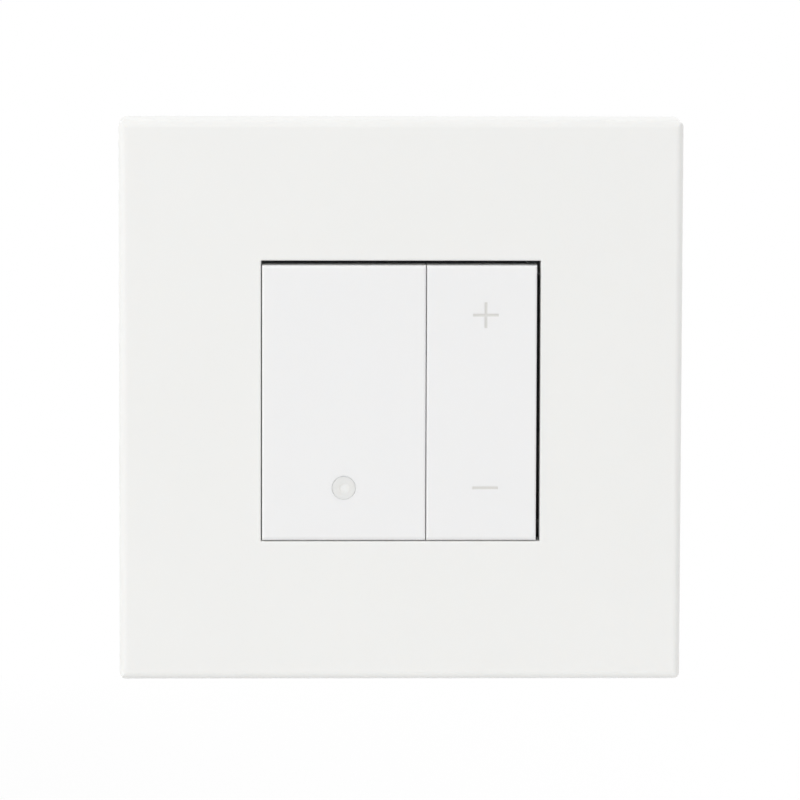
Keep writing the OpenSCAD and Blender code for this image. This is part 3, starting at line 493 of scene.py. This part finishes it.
@dataclass(frozen=True)
class Laminate(Finish):
    """A circuit board: solder mask over raised tracks, with a faint glass weave underneath."""

    tones: Range = (0.85, 1.1)
    gloss: Range = (-0.05, 0.08)
    track: Rgb = (44, 122, 66)
    track_pitch: float = 2.54 * MM
    track_share: float = 0.3
    track_relief: float = 18.0 * MICRON
    cuts_across: Noise = Noise(260.0, 0.0)
    cuts_up: Noise = Noise(190.0, 0.0)
    cut_level: float = 0.5
    weave_scale: float = 900.0
    weave_share: float = 0.15

    def dress(self, graph: Graph, skin: Any) -> None:
        """Draws tracks as bands of a grid that noise cuts into runs, and tints and lifts them.

        Args:
            graph: the material's graph.
            skin: the shader's inputs.
        """
        point = graph.place()
        parts = graph.add("SeparateXYZ", {0: point}).outputs
        across = self._run(graph, point, parts[0], self.cuts_across)
        up = self._run(graph, point, parts[2], self.cuts_up)
        tracks = graph.calc("MAXIMUM", across, up)
        weave_inputs = {"Vector": point, "Scale": self.weave_scale, "Distortion": 1.0}
        weave = graph.add("TexWave", weave_inputs, bands_direction="X").outputs["Fac"]
        texture = graph.group(EFFECTS.grain, {"Point": point, "Size": Grain.POLISHED.value[0]})
        deep, pale = (linear(self.colour, share) for share in self.tones)
        ground = graph.blend(texture["Tone"], deep, pale)
        woven = graph.calc("MULTIPLY", weave, self.weave_share)
        ground = graph.blend(woven, ground, linear(self.track))
        limits = tuple(self.roughness + shift for shift in self.gloss)
        graph.put(skin["Base Color"], graph.blend(tracks, ground, linear(self.track)))
        graph.put(skin["Roughness"], graph.fit(texture["Gloss"], WHOLE, limits))
        graph.put(skin["Normal"], graph.bump(tracks, self.track_relief))

    def _run(self, graph: Graph, point: Socket, along: Socket, cuts: Noise) -> Socket:
        """Draws the tracks that cross one axis.

        Args:
            graph: the material's graph.
            point: the point being shaded.
            along: the coordinate that the tracks repeat along.
            cuts: the noise that breaks the tracks into runs.

        Returns:
            1 on a track and 0 beside it.
        """
        phase = graph.calc("FRACT", graph.calc("DIVIDE", along, self.track_pitch))
        offset = graph.calc("ABSOLUTE", graph.calc("SUBTRACT", phase, 0.5))
        band = graph.calc("LESS_THAN", offset, self.track_share / 2)
        kept = graph.calc("GREATER_THAN", graph.noise(point, cuts), self.cut_level)
        return graph.calc("MULTIPLY", band, kept)


@dataclass(frozen=True)
class Glass(Finish):
    """Clear glass with a faint ripple."""

    lay: Lay = Lay.ALONG_Z
    ripple_size: float = 900.0
    ripple_relief: float = 2.0 * MICRON
    ripple_rough: float = 0.06
    tints: Range = (0.97, 1.0)
    index: float = 1.5

    def dress(self, graph: Graph, skin: Any) -> None:
        """Sets a plain clear glass and bends its normal a little.

        Args:
            graph: the material's graph.
            skin: the shader's inputs.
        """
        inputs = {"Point": graph.place(), "Stretch": self.lay.value, "Size": self.ripple_size}
        ripple = graph.group(EFFECTS.lines, inputs)
        deep, pale = (linear(self.colour, share) for share in self.tints)
        rough = graph.fit(ripple["Lines"], WHOLE, (self.roughness, self.ripple_rough))
        graph.put(skin["Base Color"], graph.blend(ripple["Bands"], deep, pale))
        graph.put(skin["Roughness"], rough)
        graph.put(skin["Normal"], graph.bump(ripple["Lines"], self.ripple_relief))
        graph.put(skin["Transmission Weight"], 1.0)
        graph.put(skin["IOR"], self.index)


def first_leg(radius: float = 0.3 * MM, inset: float = 0.9 * MM, up: float = 1.8 * MM) -> Mark:
    """Returns the pale dot beside the controller's first leg, in from the side and up from the end."""
    low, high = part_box("controller_chip")
    return Mark((low.x + inset, high.y, low.z + up), (radius,) * 3, (150, 150, 150), Form.DISC)


PLATE_WHITE = Moulding("plate_white", (241, 241, 239), roughness=0.36, spread=0.008, translucency=0.3)
KEY_WHITE = Moulding("key_white", (241, 241, 241), roughness=0.34, spread=0.006, translucency=0.3)
LIGHT_PIPE = Moulding("light_pipe", (233, 233, 231), roughness=0.4, spread=0.02, translucency=0.6,
                      bleed=0.5 * MM)
FRAME_GREY = Moulding("frame_grey", (152, 154, 156), roughness=0.55, grain=Grain.SPARK, spread=0.06)
CHASSIS_DARK = Moulding("chassis_dark", (84, 84, 86), roughness=0.55, grain=Grain.SPARK, spread=0.1,
                        specular=0.2)
HOUSING_GREY = Moulding("housing_grey", (206, 207, 207), roughness=0.5, grain=Grain.SPARK, spread=0.04)
SWITCH_BLACK = Moulding("switch_black", (38, 38, 40), roughness=0.45, spread=0.12)
PLUNGER_IVORY = Moulding("plunger_ivory", (224, 221, 210), roughness=0.35, grain=Grain.POLISHED)
LAMP_RESIN = Moulding("lamp_resin", (246, 240, 206), roughness=0.2, grain=Grain.POLISHED,
                      translucency=0.7)
MOULDED_RESIN = Moulding("moulded_resin", (36, 36, 38), roughness=0.5, grain=Grain.SPARK, spread=0.15,
                         marks=(first_leg(),))
RESISTOR_FILM = Moulding("resistor_film", (34, 34, 37), roughness=0.3, grain=Grain.POLISHED, spread=0.1)
FERRITE = Moulding("ferrite", (62, 64, 66), roughness=0.6, grain=Grain.SINTERED, spread=0.2)
FILM_CASE = Moulding("film_case", (222, 176, 54), roughness=0.25, grain=Grain.POLISHED, spread=0.06)
CAN_SLEEVE = Moulding("can_sleeve", (42, 48, 70), roughness=0.22, grain=Grain.POLISHED, spread=0.12)
PAD_RUBBER = Moulding("pad_rubber", (160, 164, 172), roughness=0.65, grain=Grain.SPARK, spread=0.06)
BOARD_GREEN = Laminate("board_green", (22, 84, 44), roughness=0.28)
FUSE_GLASS = Glass("fuse_glass", (226, 236, 238), roughness=0.02)
ZINC = Metal("zinc_steel", (196, 198, 200), roughness=0.3, dull=(128, 131, 138))
SPRING_STEEL = Metal("spring_steel", (188, 190, 194), roughness=0.25, line_size=9000.0)
BRASS = Metal("terminal_brass", (214, 178, 98), roughness=0.3, lay=Lay.ALONG_Y, dull=(140, 108, 58))
TIN = Metal("tinned_metal", (206, 207, 208), roughness=0.24, line_size=2600.0, relief=4.0 * MICRON)
ALUMINIUM = Metal("sink_aluminium", (184, 186, 189), roughness=0.42, lay=Lay.ALONG_X,
                  dull=(142, 144, 148))
COPPER = Metal("winding_copper", (196, 118, 66), roughness=0.22, dull=(128, 66, 34), coat=0.8)


def middle(node: str) -> Vector:
    """Returns the middle of a node's box at rest."""
    low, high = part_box(node)
    return (low + high) / 2


def paint(node: str, finish: Finish) -> None:
    """Gives a node of the frame its finish.

    Args:
        node: the node's name.
        finish: its finish.
    """
    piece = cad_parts[node]
    piece.data.materials.clear()
    piece.data.materials.append(finish.material())
    LOG.info("%s: %s", node, finish.name)


def full_turn(count: int) -> np.ndarray:
    """Returns evenly spaced angles once round."""
    return np.linspace(0.0, 2 * np.pi, count, endpoint=False)


def quarter_round(radius: float, steps: int) -> tuple[np.ndarray, np.ndarray]:
    """Rounds an edge with a quarter circle.

    At the angle u the edge is drawn in by r (1 - sin u), at the depth r (1 - cos u) from the flat end.

    Args:
        radius: the edge's radius r.
        steps: points in the arc.

    Returns:
        How far the edge is drawn in at each point, and the point's depth.
    """
    bend = np.linspace(0.0, np.pi / 2, steps)
    return radius * (1 - np.sin(bend)), radius * (1 - np.cos(bend))


def grid_faces(rows: int, columns: int, start: int = 0, capped: bool = True) -> list[Face]:
    """Joins a grid of points whose columns close on themselves.

    Args:
        rows: points along the grid.
        columns: points around it.
        start: index of the grid's first point.
        capped: whether the first and the last row are closed by a face of their own.

    Returns:
        The faces, the two caps last.
    """
    row, column = np.meshgrid(np.arange(rows - 1), np.arange(columns), indexing="ij")
    after = (column + 1) % columns
    corners = [row * columns + column, row * columns + after, (row + 1) * columns + after,
               (row + 1) * columns + column]
    faces = (start + np.stack(corners, axis=-1).reshape(-1, 4)).tolist()
    if capped:
        first = start + np.arange(columns)
        last = first + (rows - 1) * columns
        faces += [first[::-1].tolist(), last.tolist()]
    return faces


def sweep(path: np.ndarray, side: np.ndarray, radius: float, sides: int) -> Surface:
    """Carries a circle along a path, as a wire with flat ends.

    With T the path's direction, N the side vector made square to T and B = T x N, the surface is
    path(u) + r (cos v N + sin v B).

    Args:
        path: points along the wire.
        side: for each point, a vector that isn't along the path.
        radius: the wire's radius.
        sides: points around the wire.

    Returns:
        The points and the faces.
    """
    way = np.gradient(path, axis=0)
    way /= np.linalg.norm(way, axis=1, keepdims=True)
    out = side - np.sum(side * way, axis=1, keepdims=True) * way
    out /= np.linalg.norm(out, axis=1, keepdims=True)
    over = np.cross(way, out)
    turn = full_turn(sides)[None, :, None]
    ring = np.cos(turn) * out[:, None, :] + np.sin(turn) * over[:, None, :]
    points = path[:, None, :] + radius * ring
    return points.reshape(-1, 3), grid_faces(len(path), sides)


def turned(profile: np.ndarray, centre: Point, sides: int) -> Surface:
    """Turns a profile about an axis along Y, so that its faces point outwards.

    A profile point (r, y) becomes (cx + r cos v, y, cz - r sin v).

    Args:
        profile: rows of radius and depth, from the front flat end to the back one.
        centre: a point on the axis.
        sides: points around the axis.

    Returns:
        The points and the faces.
    """
    turn = full_turn(sides)
    x = centre[0] + profile[:, :1] * np.cos(turn)
    y = np.repeat(profile[:, 1:], sides, axis=1)
    z = centre[2] - profile[:, :1] * np.sin(turn)
    return np.stack([x, y, z], axis=-1).reshape(-1, 3), grid_faces(len(profile), sides)


def moulded_box(node: str, corner: float, edge: float, steps: int = 6) -> Surface:
    """Fills a node's box with a block whose corners and edges are rounded.

    The outline at depth y is a rectangle with corner arcs: a point is the arc's centre plus
    (c - d)(cos v, sin v), where d is how far quarter_round has drawn the outline in at that depth.

    Args:
        node: the node whose box is filled.
        corner: radius of the corners, seen along Y; larger than the edge.
        edge: radius of the edges at both ends.
        steps: points in each arc.

    Returns:
        The points and the faces.
    """
    low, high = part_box(node)
    centre, half = (low + high) / 2, (high - low) / 2
    bend = np.linspace(0.0, np.pi / 2, steps)
    turn = np.concatenate([quarter * np.pi / 2 + bend for quarter in range(4)])
    right = np.repeat([1.0, -1.0, -1.0, 1.0], steps)
    down = np.repeat([1.0, 1.0, -1.0, -1.0], steps)
    drawn_in, depth = quarter_round(edge, steps)
    reach = corner - np.concatenate([drawn_in, drawn_in[::-1]])[:, None]
    y = np.concatenate([low.y + depth, high.y - depth[::-1]])[:, None]
    x = centre.x + right * (half.x - corner) + reach * np.cos(turn)
    z = centre.z - down * (half.z - corner) - reach * np.sin(turn)
    points = np.stack([x, np.broadcast_to(y, x.shape), z], axis=-1)
    return points.reshape(-1, 3), grid_faces(len(reach), len(turn))


def new_piece(name: str, surface: Surface, finish: Finish, body: str) -> Object:
    """Makes a piece from points and faces and lets it ride on a body.

    Args:
        name: the piece's name.
        surface: its points and faces.
        finish: its finish.
        body: the body that carries it.

    Returns:
        The piece.
    """
    points, faces = surface
    mesh = bpy.data.meshes.new(name)
    mesh.from_pydata(points.tolist(), [], faces)
    mesh.polygons.foreach_set("use_smooth", np.ones(len(mesh.polygons), bool))
    mesh.set_sharp_from_angle(angle=SHARP_ANGLE)
    mesh.materials.append(finish.material())
    mesh.update()
    piece = bpy.data.objects.new(name, mesh)
    bpy.context.scene.collection.objects.link(piece)
    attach(piece, body)
    LOG.info("%s: %d faces on %s", name, len(mesh.polygons), body)
    return piece


@dataclass
class CoverPlate:
    """The square white plate around the keys."""

    finish: Finish = PLATE_WHITE

    def dress(self) -> None:
        """Finishes the plate in slightly translucent satin white."""
        paint("cover_plate", self.finish)


@dataclass
class Keys:
    """The on/off key with its ring for the lamp, and the rocker with its plus and minus."""

    stroke_colour: Rgb = (227, 226, 223)
    stroke_half: float = 2.1 * MM
    stroke_deep: float = 0.15 * MM
    mark_shift: float = 0.65 * MM
    dish_colour: Rgb = (241, 241, 239)
    dish_radius: float = 0.85 * MM

    def dress(self) -> None:
        """Finishes both keys in white, fills the strokes with grey and frosts the ring."""
        white = replace(KEY_WHITE, marks=self._strokes())
        paint("on_off_key", white)
        paint("dim_rocker", white)
        paint("light_guide", replace(LIGHT_PIPE, marks=(self._dish(),)))

    def _strokes(self) -> tuple[Mark, ...]:
        """Places the paint in the engraved floors, just behind the rocker's face.

        Returns:
            A mark for the plus and one for the minus.
        """
        x = middle("dim_rocker").x + self.mark_shift
        floor_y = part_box("dim_rocker")[0].y + self.stroke_deep
        half = (self.stroke_half, self.stroke_deep / 2, self.stroke_half)
        heights = [middle("brighten_plunger").z, middle("darken_plunger").z]
        return tuple(Mark((x, floor_y, z), half, self.stroke_colour) for z in heights)

    def _dish(self) -> Mark:
        """Returns the paler middle of the ring."""
        centre = tuple(middle("light_guide"))
        return Mark(centre, (self.dish_radius,) * 3, self.dish_colour, Form.DISC)


@dataclass
class Casing:
    """The frame on the wall box, both halves of the casing and the screws that join them."""

    screws: Finish = ZINC

    def dress(self) -> None:
        """Finishes the mouldings with spark texture and the screws with zinc."""
        paint("support_frame", FRAME_GREY)
        paint("chassis", CHASSIS_DARK)
        paint("rear_housing", HOUSING_GREY)
        paint("housing_screws", self.screws)


@dataclass
class Returns:
    """The coils that push the keys back, all of the same size."""

    wire_radius: float = 0.25 * MM
    turns: float = 5.0
    end_turns: float = 0.75
    rings_per_turn: int = 40
    sides: int = 12

    def build(self) -> None:
        """Winds the coils and sets them on the base in place of the frame's springs."""
        low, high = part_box("key_spring")
        half = (high.z - low.z) / 2
        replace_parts(self._coil("key_coil", middle("key_spring")), "key_spring")
        low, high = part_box("rocker_springs")
        for name, z in (("brighten_coil", high.z - half), ("darken_coil", low.z + half)):
            place = Vector((middle("rocker_springs").x, 0.0, z))
            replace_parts(self._coil(name, place), "rocker_springs")

    def _coil(self, name: str, centre: Vector) -> Object:
        """Winds one coil whose ends lie flat.

        The wire's middle is (cx + R cos a, y(a), cz + R sin a); y rises by one wire over each whole
        end turn and evenly between the ends.

        Args:
            name: the piece's name.
            centre: a point on the coil's axis.

        Returns:
            The coil.
        """
        low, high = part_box("key_spring")
        radius = (high.x - low.x) / 2 - self.wire_radius
        near, far = low.y + self.wire_radius, high.y - self.wire_radius
        turn = np.linspace(0.0, self.turns, int(self.turns * self.rings_per_turn) + 1)
        stops = [0.0, self.end_turns, self.turns - self.end_turns, self.turns]
        lift = 2 * self.wire_radius * self.end_turns
        angle = 2 * np.pi * turn
        out = np.stack([np.cos(angle), np.zeros_like(angle), np.sin(angle)], axis=1)
        path = out * radius + np.array([centre.x, 0.0, centre.z])
        path[:, 1] = np.interp(turn, stops, [near, near + lift, far - lift, far])
        coil = new_piece(name, sweep(path, out, self.wire_radius, self.sides), SPRING_STEEL, "base")
        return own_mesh(coil)


@dataclass
class ControlBoard:
    """The front board with the three switches, the lamp and the controller."""

    switches: tuple[str, ...] = ("on_off", "brighten", "darken")
    resistor_columns: int = 4
    resistor_length: float = 2.0 * MM
    resistor_end: float = 0.35 * MM
    end_colour: Rgb = (196, 198, 200)

    def dress(self) -> None:
        """Finishes the board and everything on it."""
        paint("control_board", BOARD_GREEN)
        for name in self.switches:
            paint(name + "_switch", SWITCH_BLACK)
            paint(name + "_plunger", PLUNGER_IVORY)
        paint("board_header", SWITCH_BLACK)
        paint("header_pins", BRASS)
        paint("indicator_led", LAMP_RESIN)
        paint("controller_chip", MOULDED_RESIN)
        paint("chip_resistors", replace(RESISTOR_FILM, marks=self._ends()))

    def _ends(self) -> tuple[Mark, ...]:
        """Places the tinned ends of the resistors, column by column.

        Returns:
            A mark for each end, as high as the whole column.
        """
        low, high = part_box("chip_resistors")
        step = (high.x - low.x - self.resistor_length) / (self.resistor_columns - 1)
        lefts = [low.x + step * column for column in range(self.resistor_columns)]
        size = high - low
        half = (self.resistor_end, size.y, size.z)
        centre = middle("chip_resistors")
        ends = [left + shift for left in lefts for shift in (0.0, self.resistor_length)]
        return tuple(Mark((x, centre.y, centre.z), half, self.end_colour) for x in ends)


@dataclass
class PowerBoard:
    """The rear board with the choke, the capacitors, the fuse and the cooled triac."""

    case_corner: float = 0.9 * MM
    case_edge: float = 0.6 * MM
    resin_corner: float = 0.45 * MM
    resin_edge: float = 0.3 * MM
    wire_radius: float = 0.25 * MM
    wire_sides: int = 10
    wire_turns: int = 20
    open_turns: float = 0.5
    rings_per_turn: int = 28
    can_round: float = 0.7 * MM
    can_round_steps: int = 9
    can_sides: int = 64
    crimp_deep: float = 0.4 * MM
    crimp_up: float = 1.8 * MM
    crimp_steps: int = 13
    stripe_colour: Rgb = (196, 200, 206)
    stripe_share: float = 0.3
    stripe_length: float = 0.98
    joint_radius: float = 0.9 * MM
    joint_height: float = 0.7 * MM
    joint_steps: int = 7
    joint_sides: int = 16
    tip_share: float = 0.05
    tip_rise: float = 0.4
    lead_radius: float = 0.35 * MM
    lead_inset: float = 1.5 * MM
    header_ways: int = 6
    triac_legs: int = 3

    def dress(self) -> None:
        """Finishes the pieces that keep the shape they have in the frame."""
        paint("power_board", BOARD_GREEN)
        paint("choke_core", FERRITE)
        paint("fuse_tube", FUSE_GLASS)
        for node in ("fuse_caps", "triac_tab", "triac_leads"):
            paint(node, TIN)
        paint("insulating_pad", PAD_RUBBER)
        paint("heat_sink", ALUMINIUM)
        paint("triac_screw", ZINC)

    def build(self) -> None:
        """Winds the choke, moulds the cases, turns the capacitor's can and sets the solder joints."""
        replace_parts(new_piece("choke_wire", self._winding(), COPPER, "base"), "choke_winding")
        case = moulded_box("suppression_capacitor", self.case_corner, self.case_edge)
        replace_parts(new_piece("film_capacitor", case, FILM_CASE, "base"), "suppression_capacitor")
        case = moulded_box("triac_body", self.resin_corner, self.resin_edge)
        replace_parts(new_piece("triac_case", case, MOULDED_RESIN, "base"), "triac_body")
        sleeve = replace(CAN_SLEEVE, marks=(self._stripe(),))
        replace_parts(new_piece("capacitor_can", self._can(), sleeve, "base"), "smoothing_capacitor")
        new_piece("solder_joints", self._solder(), TIN, "base")

    def _winding(self) -> Surface:
        """Winds the wire round the ring core.

        The wire's middle is the ring's circle of radius R plus a small circle of radius r about it:
        with s the angle round the ring and a = n s the angle round the section, its distance from the
        ring's axis is R + r cos a and its depth is r sin a.

        Returns:
            The points and the faces.
        """
        low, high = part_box("choke_winding")
        centre = middle("choke_core")
        section = (high.y - low.y) / 2 - self.wire_radius
        ring = (high.x - low.x) / 2 - section - self.wire_radius
        share = np.linspace(0.0, 1.0, self.wire_turns * self.rings_per_turn + 1)
        round_ring = 2 * np.pi * share * (1.0 - self.open_turns / self.wire_turns)
        round_section = 2 * np.pi * self.wire_turns * share + np.pi / 2
        spoke = np.stack([np.cos(round_ring), np.zeros_like(share), np.sin(round_ring)], axis=1)
        side = spoke * np.cos(round_section)[:, None]
        side[:, 1] = np.sin(round_section)
        path = np.array(centre) + spoke * ring + side * section
        return sweep(path, side, self.wire_radius, self.wire_sides)

    def _can(self) -> Surface:
        """Turns the can: a flat top with rounded shoulders, a crimp near the board and a flat foot.

        The crimp is a half circle of radius c: at the angle v its distance from the axis is R - c sin v
        and its depth is c cos v short of its middle's.

        Returns:
            The points and the faces.
        """
        low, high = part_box("smoothing_capacitor")
        radius = (high.x - low.x) / 2
        drawn_in, depth = quarter_round(self.can_round, self.can_round_steps)
        shoulder = np.stack([radius - drawn_in, low.y + depth], axis=1)
        around = np.linspace(0.0, np.pi, self.crimp_steps)
        crimp = np.stack([radius - self.crimp_deep * np.sin(around),
                          high.y - self.crimp_up - self.crimp_deep * np.cos(around)], axis=1)
        foot = np.array([[radius, high.y]])
        profile = np.concatenate([shoulder, crimp, foot])
        return turned(profile, tuple(middle("smoothing_capacitor")), self.can_sides)

    def _stripe(self) -> Mark:
        """Places the pale stripe that marks the can's negative side.

        Returns:
            The stripe.
        """
        low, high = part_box("smoothing_capacitor")
        half = (high - low) / 2
        centre = middle("smoothing_capacitor")
        reach = (half.x * self.stripe_share, half.y * self.stripe_length, half.z * self.stripe_share)
        return Mark((high.x, centre.y, centre.z), reach, self.stripe_colour)

    def _solder(self) -> Surface:
        """Sets a cone of solder with a hollow flank over each lead, on the board's back.

        A joint's radius at the share h of its height is rl + (r0 - rl) (1 - h)^2, closed by a small tip.

        Returns:
            The points and the faces of all joints.
        """
        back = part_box("power_board")[1].y
        places = self._leads()
        share = np.append(np.linspace(0.0, 1.0, self.joint_steps), 1.0)
        reach = self.lead_radius + (self.joint_radius - self.lead_radius) * (1 - share) ** 2
        reach[-1] = self.lead_radius * self.tip_share
        height = self.joint_height * share
        height[-1] += self.lead_radius * self.tip_rise
        turn = full_turn(self.joint_sides)
        x = places[:, 0, None, None] + reach[None, :, None] * np.cos(turn)
        z = places[:, 1, None, None] - reach[None, :, None] * np.sin(turn)
        y = np.broadcast_to((back + height)[None, :, None], x.shape)
        points = np.stack([x, y, z], axis=-1).reshape(-1, 3)
        starts = np.arange(len(places)) * len(share) * len(turn)
        return points, [face for start in starts for face in grid_faces(len(share), len(turn), start)]

    def _leads(self) -> np.ndarray:
        """Finds where leads come through the board: pins, legs, and one inside each end of a long piece.

        Returns:
            Rows of X and Z.
        """
        rows = [lead_ends("header_pins", self.header_ways), lead_ends("triac_leads", self.triac_legs)]
        for node in ("suppression_capacitor", "fuse_caps"):
            low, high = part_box(node)
            x = middle(node).x
            rows.append(np.array([(x, low.z + self.lead_inset), (x, high.z - self.lead_inset)]))
        return np.concatenate(rows)


def lead_ends(node: str, count: int, slack: float = 0.01 * MM, decimals: int = 6) -> np.ndarray:
    """Finds where square leads end at their deepest.

    The corners of the deepest faces, in order of X, fall into one even group for each lead, and a
    group's mean is the lead's middle.

    Args:
        node: the node that holds the leads.
        count: how many leads it holds.
        slack: how far a corner may lie from the deepest one.
        decimals: digits of a metre at which two corners count as one.

    Returns:
        Rows of X and Z.
    """
    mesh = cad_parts[node].data
    points = np.empty(len(mesh.vertices) * 3)
    mesh.vertices.foreach_get("co", points)
    points = points.reshape(-1, 3)
    deepest = points[points[:, 1] > points[:, 1].max() - slack]
    corners = np.unique(np.round(deepest[:, [0, 2]], decimals), axis=0)
    return np.array([group.mean(axis=0) for group in np.array_split(corners, count)])


@dataclass
class Terminals:
    """The three clamps that take the wires."""

    cages: Finish = BRASS
    screws: Finish = ZINC

    def dress(self) -> None:
        """Finishes cages, screws and pressure plates."""
        paint("terminal_cages", self.cages)
        paint("terminal_screws", self.screws)
        paint("clamp_plates", self.screws)


@dataclass(frozen=True)
class Lamp:
    """One square soft lamp that points at the object."""

    name: str
    place: Point
    side: float
    power: float

    def light(self) -> None:
        """Hangs the lamp, unseen by the camera and without highlights, which would burn out white."""
        data = bpy.data.lights.new(self.name, "AREA")
        data.shape = "SQUARE"
        data.size = self.side
        data.energy = self.power
        lamp = bpy.data.objects.new(self.name, data)
        lamp.location = self.place
        lamp.rotation_mode = "QUATERNION"
        lamp.rotation_quaternion = (-Vector(self.place)).to_track_quat("-Z", "Y")
        lamp.visible_camera = False
        lamp.visible_glossy = False
        bpy.context.scene.collection.objects.link(lamp)
        LOG.info("lamp %s", self.name)


@dataclass
class Studio:
    """A white surround, a pale floor that fades into it, and soft lamps."""

    surround: float = 0.5
    floor_z: float = -120 * MM
    floor_hole: float = 1 * MM
    floor_radius: float = 0.7
    floor_rings: int = 24
    floor_sides: int = 96
    floor_seen: Rgb = (254, 254, 254)
    floor_bounce: Rgb = (228, 228, 228)
    floor_fade: Range = (0.25, 0.65)
    lamps: tuple[Lamp, ...] = (
        Lamp("key_lamp", (-0.7, -0.67, 0.63), side=0.47, power=5.9),
        Lamp("fill_lamp", (0.85, -1.05, 0.1), side=0.9, power=4.2),
        Lamp("side_lamp", (-1.2, -0.15, 0.25), side=0.6, power=1.5),
        Lamp("rear_lamp", (0.75, 0.8, 0.9), side=0.8, power=8.4),
    )

    def build(self) -> None:
        """Makes the surround, the floor and the lamps."""
        self._world()
        self._floor()
        for lamp in self.lamps:
            lamp.light()

    def _world(self) -> None:
        """Shows white to the camera, to reflections and through glass, and lights with less."""
        world = bpy.data.worlds.new("surround")
        graph = bare_graph(world)
        white = graph.add("Background", {"Color": WHITE, "Strength": 1.0})
        soft = graph.add("Background", {"Color": WHITE, "Strength": self.surround})
        mixed = graph.either(self._seen(graph), soft, white)
        graph.add("OutputWorld", {"Surface": mixed.outputs[0]})
        bpy.context.scene.world = world

    @staticmethod
    def _seen(graph: Graph) -> Socket:
        """Tells what is seen from light that is passed on.

        Args:
            graph: the graph of a material or world.

        Returns:
            1 for what the camera, a reflection or glass shows, and 0 for the rest.
        """
        rays = graph.add("LightPath", {}).outputs
        seen = graph.calc("MAXIMUM", rays["Is Camera Ray"], rays["Is Glossy Ray"])
        return graph.calc("MAXIMUM", seen, rays["Is Transmission Ray"])

    def _floor(self) -> None:
        """Lays a round floor: rings of radius r at the angle v, in the plane under the object."""
        reach = np.linspace(self.floor_hole, self.floor_radius, self.floor_rings)[:, None]
        turn = full_turn(self.floor_sides)
        x, y = reach * np.cos(turn), -reach * np.sin(turn)
        points = np.stack([x, y, np.full_like(x, self.floor_z)], axis=-1).reshape(-1, 3)
        mesh = bpy.data.meshes.new("floor")
        faces = grid_faces(self.floor_rings, self.floor_sides, capped=False)
        mesh.from_pydata(points.tolist(), [], faces)
        mesh.materials.append(self._floor_material())
        floor = bpy.data.objects.new("floor", mesh)
        bpy.context.scene.collection.objects.link(floor)

    def _floor_material(self) -> Material:
        """Mixes a pale matt paint that turns into the white surround and is clear from below.

        Returns:
            The material.
        """
        made = bpy.data.materials.new("floor_paint")
        graph = bare_graph(made)
        reach = graph.length(graph.place(), (1.0, 1.0, 0.0))
        near, far = self.floor_fade
        fade = graph.fit(reach, (self.floor_radius * near, self.floor_radius * far))
        seen = self._seen(graph)
        pale = graph.add("BsdfDiffuse", {"Color": linear(self.floor_seen)})
        bounce = graph.add("BsdfDiffuse", {"Color": linear(self.floor_bounce)})
        clear = graph.add("BsdfTransparent", {})
        white = graph.add("Emission", {"Color": WHITE, "Strength": 1.0})
        matt = graph.either(seen, bounce, pale)
        beyond = graph.either(seen, clear, white)
        above = graph.either(fade, matt, beyond)
        below = graph.add("NewGeometry", {}).outputs["Backfacing"]
        mixed = graph.either(below, above, clear)
        graph.add("OutputMaterial", {"Surface": mixed.outputs[0]})
        return made


@dataclass
class Camera:
    """The photograph's view: from far in front, a little above, with a slight turn and roll."""

    distance: float = 1.0
    pitch: float = 6.8
    yaw: float = -1.4
    roll: float = 0.17
    span: float = 127.86 * MM
    aim: Point = (-0.11 * MM, -9.0 * MM, 0.21 * MM)
    sensor: float = 36.0
    clip: Range = (0.01, 20.0)

    def build(self) -> None:
        """Places the camera and makes it the scene's own."""
        data = bpy.data.cameras.new("photo_view")
        data.sensor_width = self.sensor
        data.lens = self.sensor * self.distance / self.span
        data.clip_start, data.clip_end = self.clip
        pitch, yaw = math.radians(self.pitch), math.radians(self.yaw)
        level = math.cos(pitch)
        back = Vector((math.sin(yaw) * level, -math.cos(yaw) * level, math.sin(pitch)))
        camera = bpy.data.objects.new("photo_view", data)
        camera.location = Vector(self.aim) + back * self.distance
        camera.rotation_mode = "QUATERNION"
        roll = Quaternion((0.0, 0.0, 1.0), math.radians(self.roll))
        camera.rotation_quaternion = (-back).to_track_quat("-Z", "Y") @ roll
        bpy.context.scene.collection.objects.link(camera)
        bpy.context.scene.camera = camera


def main() -> None:
    """Builds and dresses the sub-assemblies in order, then the studio."""
    logging.basicConfig(level=logging.INFO, format="%(name)s %(message)s")
    bpy.context.scene.view_settings.view_transform = "Standard"
    Camera().build()
    CoverPlate().dress()
    Keys().dress()
    Casing().dress()
    Returns().build()
    ControlBoard().dress()
    power = PowerBoard()
    power.dress()
    power.build()
    Terminals().dress()
    Studio().build()


if __name__ == "__main__":
    main()
